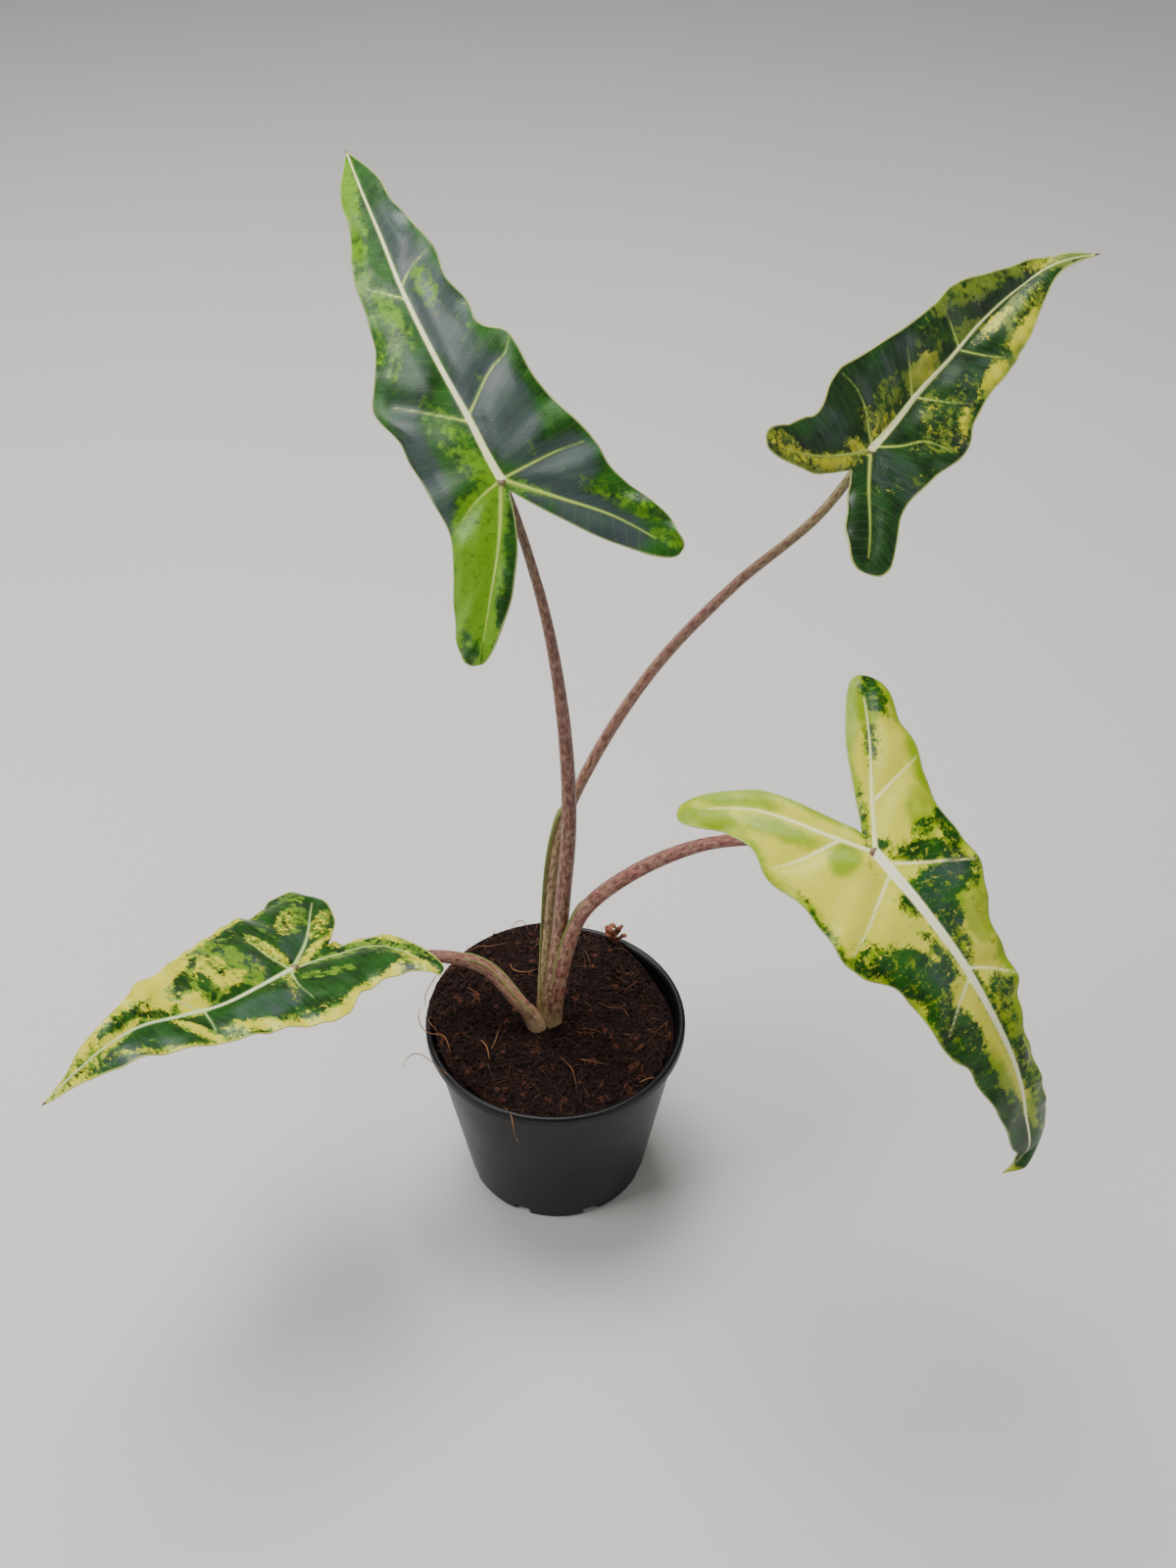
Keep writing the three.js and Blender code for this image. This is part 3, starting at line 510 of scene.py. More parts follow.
# The dry bract is five thick strands from one place at the back of the pot, crumpled by a noise
BRACT = [
    [(27, 46, 0), (26, 47, 3), (25.5, 48, 6), (27, 49, 8.5), (28.5, 48, 7.5)],
    [(28, 46.5, 0), (28, 47, 3), (29.5, 48.5, 6), (31, 48, 9), (30, 47, 10)],
    [(28.5, 46, 0), (30, 46.5, 2.5), (32, 46.5, 5), (33, 45, 7), (32, 44, 7.5)],
    [(27, 46.5, 0), (25.5, 47, 2), (24, 48.5, 4), (24.5, 49, 6.5), (26, 48.5, 6)],
    [(28, 45.5, 0), (28.5, 46, 3.5), (27.5, 46.5, 6.5), (26, 46, 8.5), (26, 47.5, 10)],
]
BRACT_RADII = [1.2, 1.3, 1.0, 0.9, 1.0]
bract_points, bract_faces = strands([root_path(points) for points in BRACT], BRACT_RADII, 10)
crumple = [0.5 * grain(bract_points[:, 2] + k, bract_points[:, 0] + 5 * k, 1.7) for k in (0, 3, 7)]
bract_points += np.stack(crumple, -1)
dry_bract = plant_fibre("dry curled bract", "#98573b", "#5a2a1c")
make_piece("soil_dry_bract", bract_points, bract_faces, dry_bract)

# Corm: the short woody underground stem that the four stalks grow from, with stub roots.
# It is buried, so the construction solid stays as it is and only takes its bark, which is matt
# and ringed in tan and brown every 2.9 mm.
corm_bark, tree, shader = new_material("fibrous corm bark")
place = add_node(tree, "TexCoord").outputs["Object"]
waves = {"Vector": place, "Scale": 110, "Distortion": 4, "Detail": 3}
rings = add_node(tree, "TexWave", waves, bands_direction="Z").outputs["Fac"]
bark = add_node(tree, "Mix", {0: rings, 6: "#5d4029", 7: "#a58258"}, data_type="RGBA")
ridge = add_node(tree, "Bump", {"Height": rings, "Strength": 0.6, "Distance": 0.0006})
feed(tree, shader, {"Base Color": bark.outputs[2], "Normal": ridge, "Roughness": 0.85})
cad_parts["corm"].data.materials.clear()
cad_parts["corm"].data.materials.append(corm_bark)

# Leaf stalks: four fleshy stalks that rise from the corm and bend out under their blades. Each
# is a tube along a smooth path, whose sheath opens at the foot into two thin green wings. The
# skin goes from cream through tan to dusty pink and is flecked lengthwise with maroon.
STALK_STEPS = 200
STALK_SIDES = 40
GROOVE_DEPTH = 0.16
GROOVE_WIDTH = 0.42
WING_SPREAD = math.radians(38)
WING_FIRST_ROW = 2
WING_PROFILE = [(-0.6, 0.5), (0.45, 0.34), (0.8, 0.2), (1.0, 0.06)]
WING_PROFILE += [(out, -thick) for out, thick in WING_PROFILE[::-1]]

# A stalk's radii are those at its foot, at its sheath's end and at its top. The sheath ends at a
# share of the length; flare thickens the foot at the soil; flush, green and flecks are how pink
# the skin is, how green under the sheath, and the noise that the flecks start from.
STALKS = [
    {
        "path": [
            (-3, -1, 84.4), (-2, 0, 104), (1, 3, 132), (4, 6, 165), (7, 9, 210), (5, 11, 262),
            (-1, 10, 312), (-10, 6, 356), (-16, 1, 380),
        ],
        "radii": (3.9, 3.3, 1.7),
        "flare": 0,
        "sheath_end": 0.34,
        "inner": (0.1, 1, 0),
        "wing": 1.2,
        "flush": 0.35,
        "green": 0.05,
        "flecks": 0.4,
    },
    {
        "path": [
            (-5.6, 2.6, 84.4), (-5.4, 4.8, 102), (-3, 13, 142), (3, 20, 192), (17, 24, 230),
            (42, 25, 278), (71, 21, 320), (100, 13, 357), (116, 8, 388),
        ],
        "radii": (3.7, 2.7, 1.8),
        "flare": 0,
        "sheath_end": 0.38,
        "inner": (-1, 0.1, 0.3),
        "wing": 2.4,
        "flush": 0.2,
        "green": 0.3,
        "flecks": 0.455,
    },
    {
        "path": [
            (-1.2, 0, 84.4), (0, 0, 104), (4.6, 0, 136), (13, -1, 165), (33, -6, 192), (62, -20, 222),
            (90, -40, 243), (121, -71, 265),
        ],
        "radii": (3.8, 3.4, 1.9),
        "flare": 0,
        "sheath_end": 0.36,
        "inner": (-0.7, 0.2, 0.7),
        "wing": 1,
        "flush": 0.8,
        "green": 0,
        "flecks": 0.43,
    },
    {
        "path": [
            (-6.6, -1.4, 84.4), (-9.8, -2, 96), (-17.6, -0.8, 108), (-31, 6, 121), (-49, 5, 130),
            (-70, -1, 134), (-92, -17, 143), (-109, -37, 167),
        ],
        "radii": (3.8, 3, 1.9),
        "flare": 1.4,
        "sheath_end": 0.4,
        "inner": (0.35, 0.1, 1),
        "wing": 0.8,
        "flush": 0.7,
        "green": 0.05,
        "flecks": 0.45,
    },
]


def even_path(points, count):
    """A centripetal Catmull-Rom curve at even steps of its length: a knot step is its chord's root."""
    points = np.asarray(points, float)
    ends = [2 * points[0] - points[1], 2 * points[-1] - points[-2]]
    knots = np.vstack([ends[:1], points, ends[1:]])
    w = np.linspace(0, 1, 41)[:-1, None]
    pieces = []
    for at in range(1, len(points)):
        before, a, b, after = knots[at - 1 : at + 3]
        d0, d1, d2 = (np.sqrt(np.linalg.norm(q - p)) for p, q in ((before, a), (a, b), (b, after)))
        slope_a = d1 * ((a - before) / d0 - (b - before) / (d0 + d1) + (b - a) / d1)
        slope_b = d1 * ((b - a) / d1 - (after - a) / (d1 + d2) + (after - b) / d2)
        pieces.append(hermite(a, b, slope_a, slope_b, w))
    dense = np.vstack([*pieces, points[-1:]])
    run = np.concatenate([[0], np.cumsum(np.linalg.norm(np.diff(dense, axis=0), axis=1))])
    even = np.linspace(0, run[-1], count)
    return np.stack([np.interp(even, run, dense[:, axis]) for axis in range(3)], -1)


def stalk_skin(name, stalk):
    """Fleshy stalk skin: satin, tan to pink, green under the sheath, flecked lengthwise with maroon.

    The blush comes and goes over 8 mm, flecks are 1.4 mm wide and 4 mm long, fibres 0.3 mm wide.
    """
    material, tree, shader = new_material(name)
    along = add_node(tree, "Attribute", attribute_name="along").outputs["Fac"]
    skin = add_node(tree, "Attribute", attribute_name="skin").outputs["Vector"]
    wing = add_node(tree, "Attribute", attribute_name="wing").outputs["Fac"]
    stops = [(0, "#b3a070"), (0.1, "#b89c77"), (0.3, "#a57f68"), (0.75, "#93725f"), (0.94, "#8a8458")]
    ground = add_node(tree, "ValToRGB", {"Fac": along}, [*stops, (1, "#8d9058")])
    risen = add_node(tree, "SeparateXYZ", {"Vector": skin}).outputs["Y"]
    above_soil = add_node(tree, "MapRange", {"Value": risen, "From Min": 6, "From Max": 19})
    blush = add_node(tree, "TexNoise", {"Vector": skin, "Scale": 0.12, "Detail": 3})
    stretch = add_node(tree, "Mapping", {"Vector": skin, "Scale": (1, 0.36, 1)})
    flecks = add_node(tree, "TexNoise", {"Vector": stretch, "Scale": 0.7, "Detail": 6, "Roughness": 0.7})
    least, end = stalk["flecks"], stalk["sheath_end"]
    # What shows the coat, where it starts and where it is full, how much is seen, where, its colour
    coats = [
        (blush, 0.35, 0.7, stalk["flush"], above_soil, "#9c5552"),
        (along, end + 0.03, end - 0.05, stalk["green"], 1.0, "#a0a562"),
        (flecks, least, least + 0.15, 0.85, above_soil, "#521f1b"),
        (wing, 0.15, 0.7, 0.9, 1.0, "#83944a"),
    ]
    colour = ground
    for value, start, full, most, within, coat in coats:
        limits = {"Value": value, "From Min": start, "From Max": full, "To Max": most}
        share = add_node(tree, "MapRange", limits)
        seen = add_node(tree, "Math", {0: share, 1: within}, operation="MULTIPLY")
        colour = add_node(tree, "Mix", {0: seen, 6: colour, 7: coat}, data_type="RGBA").outputs[2]
    fibres = add_node(tree, "Mapping", {"Vector": skin, "Scale": (3.2, 0.12, 1)})
    ridges = add_node(tree, "TexNoise", {"Vector": fibres, "Scale": 1, "Detail": 3})
    bump = add_node(tree, "Bump", {"Height": ridges, "Strength": 0.35, "Distance": 0.0003})
    flesh = {"Subsurface Weight": 0.12, "Subsurface Radius": (0.002, 0.0012, 0.0006)}
    feed(tree, shader, {"Base Color": colour, "Roughness": 0.42, "Normal": bump, **flesh})
    return material


def stalk_frames(path, inner):
    """Three unit vectors at each step: along the path, towards the stalk's inner side, and beside it."""
    tangent = np.gradient(path, axis=0)
    tangent /= np.linalg.norm(tangent, axis=1, keepdims=True)
    inward = np.asarray(inner, float) - (tangent @ np.asarray(inner, float))[:, None] * tangent
    inward /= np.linalg.norm(inward, axis=1, keepdims=True)
    return tangent, inward, np.cross(tangent, inward)


def stalk_radius(stalk, number, share, run):
    """The radius on the way up: straight to the sheath's end, then eased to the top; flared at the soil."""
    foot, sheath, top = stalk["radii"]
    lower = foot + (sheath - foot) * np.minimum(1, share / stalk["sheath_end"])
    radius = lower + (top - lower) * ease(stalk["sheath_end"], 1, share)
    uneven = 1 + 0.02 * grain(40 * share, 0 * share + 7 * number, 2)
    return radius * uneven + stalk["flare"] * ease(20, 7, run)


def stalk_tube(path, radius, frames, turn):
    """Rings of the radius, dipped by a groove on the inner side, round the path, closed by two fans."""
    _, inward, beside = frames
    groove = 1 - GROOVE_DEPTH * np.exp(-((np.angle(np.exp(1j * turn)) / GROOVE_WIDTH) ** 2))
    across = (radius[:, None] * groove)[..., None]
    outward = np.cos(turn)[:, None] * inward[:, None] + np.sin(turn)[:, None] * beside[:, None]
    rings = (path[:, None] + across * outward).reshape(-1, 3)
    around = np.arange(len(turn))
    beyond = (around + 1) % len(turn)
    top = len(rings) - len(turn)
    foot_fan = np.stack([0 * around + len(rings), beyond, around], -1)
    top_fan = np.stack([0 * around + len(rings) + 1, top + around, top + beyond], -1)
    faces = np.vstack([grid_triangles(len(path), len(turn), wrap=True), foot_fan, top_fan])
    return np.vstack([rings, path[:1], path[-1:]]), faces


def sheath_wing(path, radius, frames, angle, height, curl):
    """A thin strip that stands out of the stalk at an angle: its profile scaled by height, and curled."""
    tangent, inward, beside = frames
    outward = np.cos(angle)[:, None] * inward + np.sin(angle)[:, None] * beside
    flat = np.cross(tangent, outward)
    flat /= np.linalg.norm(flat, axis=1, keepdims=True)
    out, thick = np.transpose(WING_PROFILE)
    reach = 0.92 * radius[:, None] + np.where(out < 0, out, out * height[:, None])
    offset = thick + np.maximum(out, 0) * curl[:, None]
    strip = path[:, None] + reach[..., None] * outward[:, None] + offset[..., None] * flat[:, None]
    body = grid_triangles(len(path), len(out), wrap=True)
    fan = np.array([[0, k, k + 1] for k in range(1, len(out) - 1)])
    end = (len(path) - 1) * len(out)
    return strip.reshape(-1, 3), np.vstack([body[:, ::-1], fan, fan[:, ::-1] + end])


def joined(parts):
    """Several meshes as one: their points, their triangles numbered on, and their layers end to end."""
    starts = np.cumsum([0, *(len(points) for points, _, _ in parts)])
    points = np.vstack([points for points, _, _ in parts])
    faces = np.vstack([faces + start for (_, faces, _), start in zip(parts, starts)])
    return points, faces, {key: np.concatenate([part[2][key] for part in parts]) for key in parts[0][2]}


share = np.linspace(0, 1, STALK_STEPS)
turn = np.linspace(0, 2 * math.pi, STALK_SIDES, endpoint=False)
for number, stalk in enumerate(STALKS, start=1):
    path = even_path(stalk["path"], STALK_STEPS)
    run = share * np.linalg.norm(np.diff(path, axis=0), axis=1).sum()
    radius = stalk_radius(stalk, number, share, run)
    frames = stalk_frames(path, stalk["inner"])
    points, faces = stalk_tube(path, radius, frames, turn)
    skin = np.stack(np.broadcast_arrays(3 * turn, run[:, None], 50.0 * number), -1).reshape(-1, 3)
    layers = {
        "along": np.append(np.repeat(share, STALK_SIDES), share[[0, -1]]),
        "skin": np.vstack([skin, skin[[0, -1]]]),
        "wing": np.zeros(len(points)),
    }
    parts = [(points, faces, layers)]
    rows = slice(WING_FIRST_ROW, np.searchsorted(share, stalk["sheath_end"]))
    rise = share[rows] / stalk["sheath_end"]
    height = stalk["wing"] * ease(0.05, 0.75, rise) * (1 - ease(0.9, 1, rise)) + 0.05
    for side in (-1, 1):
        angle = side * (WING_SPREAD + 0.25 * (1 - rise))
        curl = 0.16 * side * height * np.sin(3.1 * rise + number)
        frames_there = [vectors[rows] for vectors in frames]
        points, faces = sheath_wing(path[rows], radius[rows], frames_there, angle, height, curl)
        columns = np.arange(len(WING_PROFILE))
        skin = np.broadcast_arrays(3 * angle[:, None], run[rows, None], 50.0 * number + columns)
        layers = {
            "along": np.repeat(share[rows], len(columns)),
            "skin": np.stack(skin, -1).reshape(-1, 3),
            "wing": np.tile([max(out, 0) for out, _ in WING_PROFILE], len(rise)),
        }
        parts.append((points, faces, layers))
    points, faces, layers = joined(parts)
    skin = stalk_skin(f"flecked stalk skin {number}", stalk)
    make_piece(f"stalk_{number}", points, faces, skin, f"petiole_{number}", layers)

# Leaf blades: four leathery arrow-shaped blades, each grown flat and then bent, folded and
# twisted. The blade is a sheet under a millimetre thick between ribs and a waved margin,
# puckered between the side veins, with the midrib, basal ribs and side veins raised beneath.
ROWS_PER_VEIN = 26
BASAL_RIB_SHARE = 0.86
HALF_THICKNESS = 0.34
MIDRIB_RAISE = 1.7
BASAL_RAISE = 1.1
SIDE_VEIN_RAISE = 0.5
PUCKER = 1.25
PUCKER_REACH = 5
DIMPLE = 0.5
DIMPLE_SIZE = 11
FLUTTER = 0.45
SINK = 0.5
VEIN_STEPS = 24
CAP_PEAK = 3.08

# All lengths are millimetres on the flat blade, with the stalk at its origin and y to the tip.
# Each row of front gives the midrib, the left margin and the right margin; each row of left and
# right gives a basal rib, its outer and its inner margin, and the last is the lobe's tip. At stalk
# gives the two margins beside the stalk, and sinus is where the lobes part behind it. Bulges push
# the margin out between rows, and blunt is how far the left and the right lobe's end is filled
# out. Heading, pitch, roll and fold are degrees, twist degrees in 100 mm, droop and curl bends
# per millimetre, wave the margin's ripple, calm how far from the tip the relief is whole, and
# flick how far the tip's left side is turned up.
BLADES = [
    {
        "attachment": (-16, 1, 380),
        "heading": 134,
        "pitch": 44,
        "roll": 52,
        "droop": 0.0033,
        "lobe_droop": 0.0003,
        "fold": 4.4,
        "curl": 0.0059,
        "twist": 1,
        "wave": 1.2,
        "calm": 30,
        "flick": 0,
        "tip": (1, 141),
        "sinus": (0.5, -5),
        "front": [
            (1, 122, -8, 124, 9, 123), (1, 101, -12.2, 104, 14, 100), (0, 79, -16, 88, 18, 86),
            (0, 53, -20, 65, 20, 62), (0.5, 26, -31, 46, 28.6, 42.4), (0, 10, -28, 20, 30, 18),
        ],
        "at_stalk": (-28, -8, 37, -7),
        "left": [(-12, -18, -42, -31, -6, -21), (-27, -35, -49, -46, -21, -40), (-44, -53)],
        "right": [(15, -16, 39, -24, 10, -20), (30, -33, 46, -43, 26, -42), (43, -55)],
        "left_bulges": [0, -1.5, 0, -0.8, -1.5, -3.2, 0, 0, 0, -1],
        "right_bulges": [0, -1, 0, -1.5, -3.6, -0.4, 1, -1, 1, -0.5],
        "blunt": (1.2, 1.3),
        "veins": [
            [(0, 0), (13, -1), (23, -2), (33, -4)],
            [(0.5, 25), (15, 34), (24, 37), (28, 41)],
            [(0, 79), (7, 83), (15, 85)],
            [(0, 0), (-12, -2), (-22, -6)],
            [(0.5, 23), (-11, 33), (-23, 43)],
            [(0, 74), (-7, 81), (-13, 87)],
        ],
    },
    {
        "attachment": (116, 8, 388),
        "heading": 55.5,
        "pitch": 8.6,
        "roll": -42,
        "droop": -0.00235,
        "lobe_droop": 0.0003,
        "fold": 14,
        "curl": 0.0007,
        "twist": 8,
        "wave": 1,
        "calm": 24,
        "flick": 0,
        "tip": (13, 138.1),
        "sinus": (-0.5, -14),
        "front": [
            (3, 122, -1, 123, 7, 121), (-1, 100, -10, 104, 12, 101), (-2, 79, -19, 83, 17, 82),
            (-1, 59, -20, 67, 19, 71), (-1, 37, -22, 49, 21, 46), (0, 17, -26, 28, 27, 29),
        ],
        "at_stalk": (-30, 7, 24, 10),
        "left": [(-7, -14, -25, -13, -4, -20), (-17, -29, -30, -29, -12, -32), (-32, -44)],
        "right": [(8, -14, 23, -9, 4, -22), (19, -30, 31.5, -32, 13, -37), (27, -44)],
        "left_bulges": [1, 0.4, -0.5, 0.4, 0, 0, -0.5, 1, 0.4, 0.8],
        "right_bulges": [0, 0, 0.4, 0, -0.8, -0.7, 0, 0.5, -1.2, 0],
        "blunt": (1.4, 2.4),
        "veins": [
            [(0, 1), (-7, 5), (-14, 9), (-21, 10), (-28, 7)],
            [(-1, 64), (-8, 67), (-15, 69)],
            [(0, 2), (7, 10), (13, 20), (21, 24)],
            [(-1, 64), (6, 68), (14, 74)],
            [(-1, 31), (-9, 38), (-16, 43)],
            [(-1, 33), (8, 40), (15, 46)],
        ],
    },
    {
        "attachment": (121, -71, 265),
        "heading": -48,
        "pitch": -24.5,
        "roll": -18,
        "droop": 0.0081,
        "lobe_droop": 0.0044,
        "fold": 2,
        "curl": 0.0063,
        "twist": 6,
        "wave": 1.4,
        "calm": 64,
        "flick": 5,
        "tip": (15, 161),
        "sinus": (-1.5, -9),
        "front": [
            (4, 156, -8, 163.5, 8, 157), (1, 145, -12.5, 147.5, 9.5, 146), (-1, 122, -12, 128, 12, 122),
            (-2, 98, -12, 104, 16, 98), (-2, 73, -14.8, 80, 21, 79), (-2, 50, -20, 60, 23, 54),
            (-1, 26, -26.6, 36, 33.4, 32.6),
        ],
        "at_stalk": (-32, 14, 34, 12),
        "left": [(-13, -17, -36, -12, -10, -24), (-30, -38, -44, -35, -25, -46), (-46, -61)],
        "right": [(9, -15, 37.5, -17, 5, -23), (24, -42, 37, -41, 20, -50), (45, -63)],
        "left_bulges": [2.2, 0, -0.5, 0, -2, 2, -2.7, 2.2, -2.3, 1.5, 2.5],
        "right_bulges": [0, -0.8, 0, 0, -2, 1, -2.5, 1.5, -1.6, -2.4, 1.6],
        "blunt": (1.6, 1.6),
        "veins": [
            [(0, 5), (-10, 12), (-20, 18), (-30, 24)],
            [(-2, 54), (-10, 60), (-19, 69)],
            [(0, 9), (13, 16), (22, 21), (31, 25)],
            [(-2, 58), (7, 63), (18, 71)],
            [(-13, -16), (-25, -18), (-38, -20)],
            [(8, -12), (23, -15), (33, -19)],
        ],
    },
    {
        "attachment": (-109, -37, 167),
        "heading": 234.5,
        "pitch": 20,
        "roll": 1,
        "droop": 0.0006,
        "lobe_droop": -0.003,
        "fold": 9.5,
        "curl": 0.0039,
        "twist": 18,
        "wave": 1.2,
        "calm": 30,
        "flick": 0,
        "tip": (-2, 133.6),
        "sinus": (3, -26),
        "front": [
            (2, 118, -2, 119, 4, 118), (6, 98, -4, 100, 14, 97), (7, 79, -9, 79, 19.5, 79),
            (3, 60, -18, 57, 25.6, 65.6), (-1, 40, -25, 41, 28, 44), (-1, 20, -34, 23, 33, 24),
        ],
        "at_stalk": (-39, 9, 37, 5),
        "left": [(-5, -19, -34, -12, -1, -32), (-17, -37, -40, -29, -13, -46), (-51, -38)],
        "right": [(10, -19, 38, -14, 6, -31), (23, -36, 44, -33, 15, -43), (34, -50)],
        "left_bulges": [0.6, 0, -0.4, 0, 0, -0.6, 0.5, -1.5, -0.5, -1.2],
        "right_bulges": [0, 1, -0.4, -1, -2, -0.4, -0.9, 0.6, -1.8, 1.5],
        "blunt": (2, 1),
        "veins": [
            [(0, 1), (12, 4), (26, 3)],
            [(1, 52), (9, 57), (15, 62)],
            [(-1, 2), (-12, 9), (-22, 11)],
            [(0, 51), (-8, 54), (-15, 58)],
        ],
    },
]
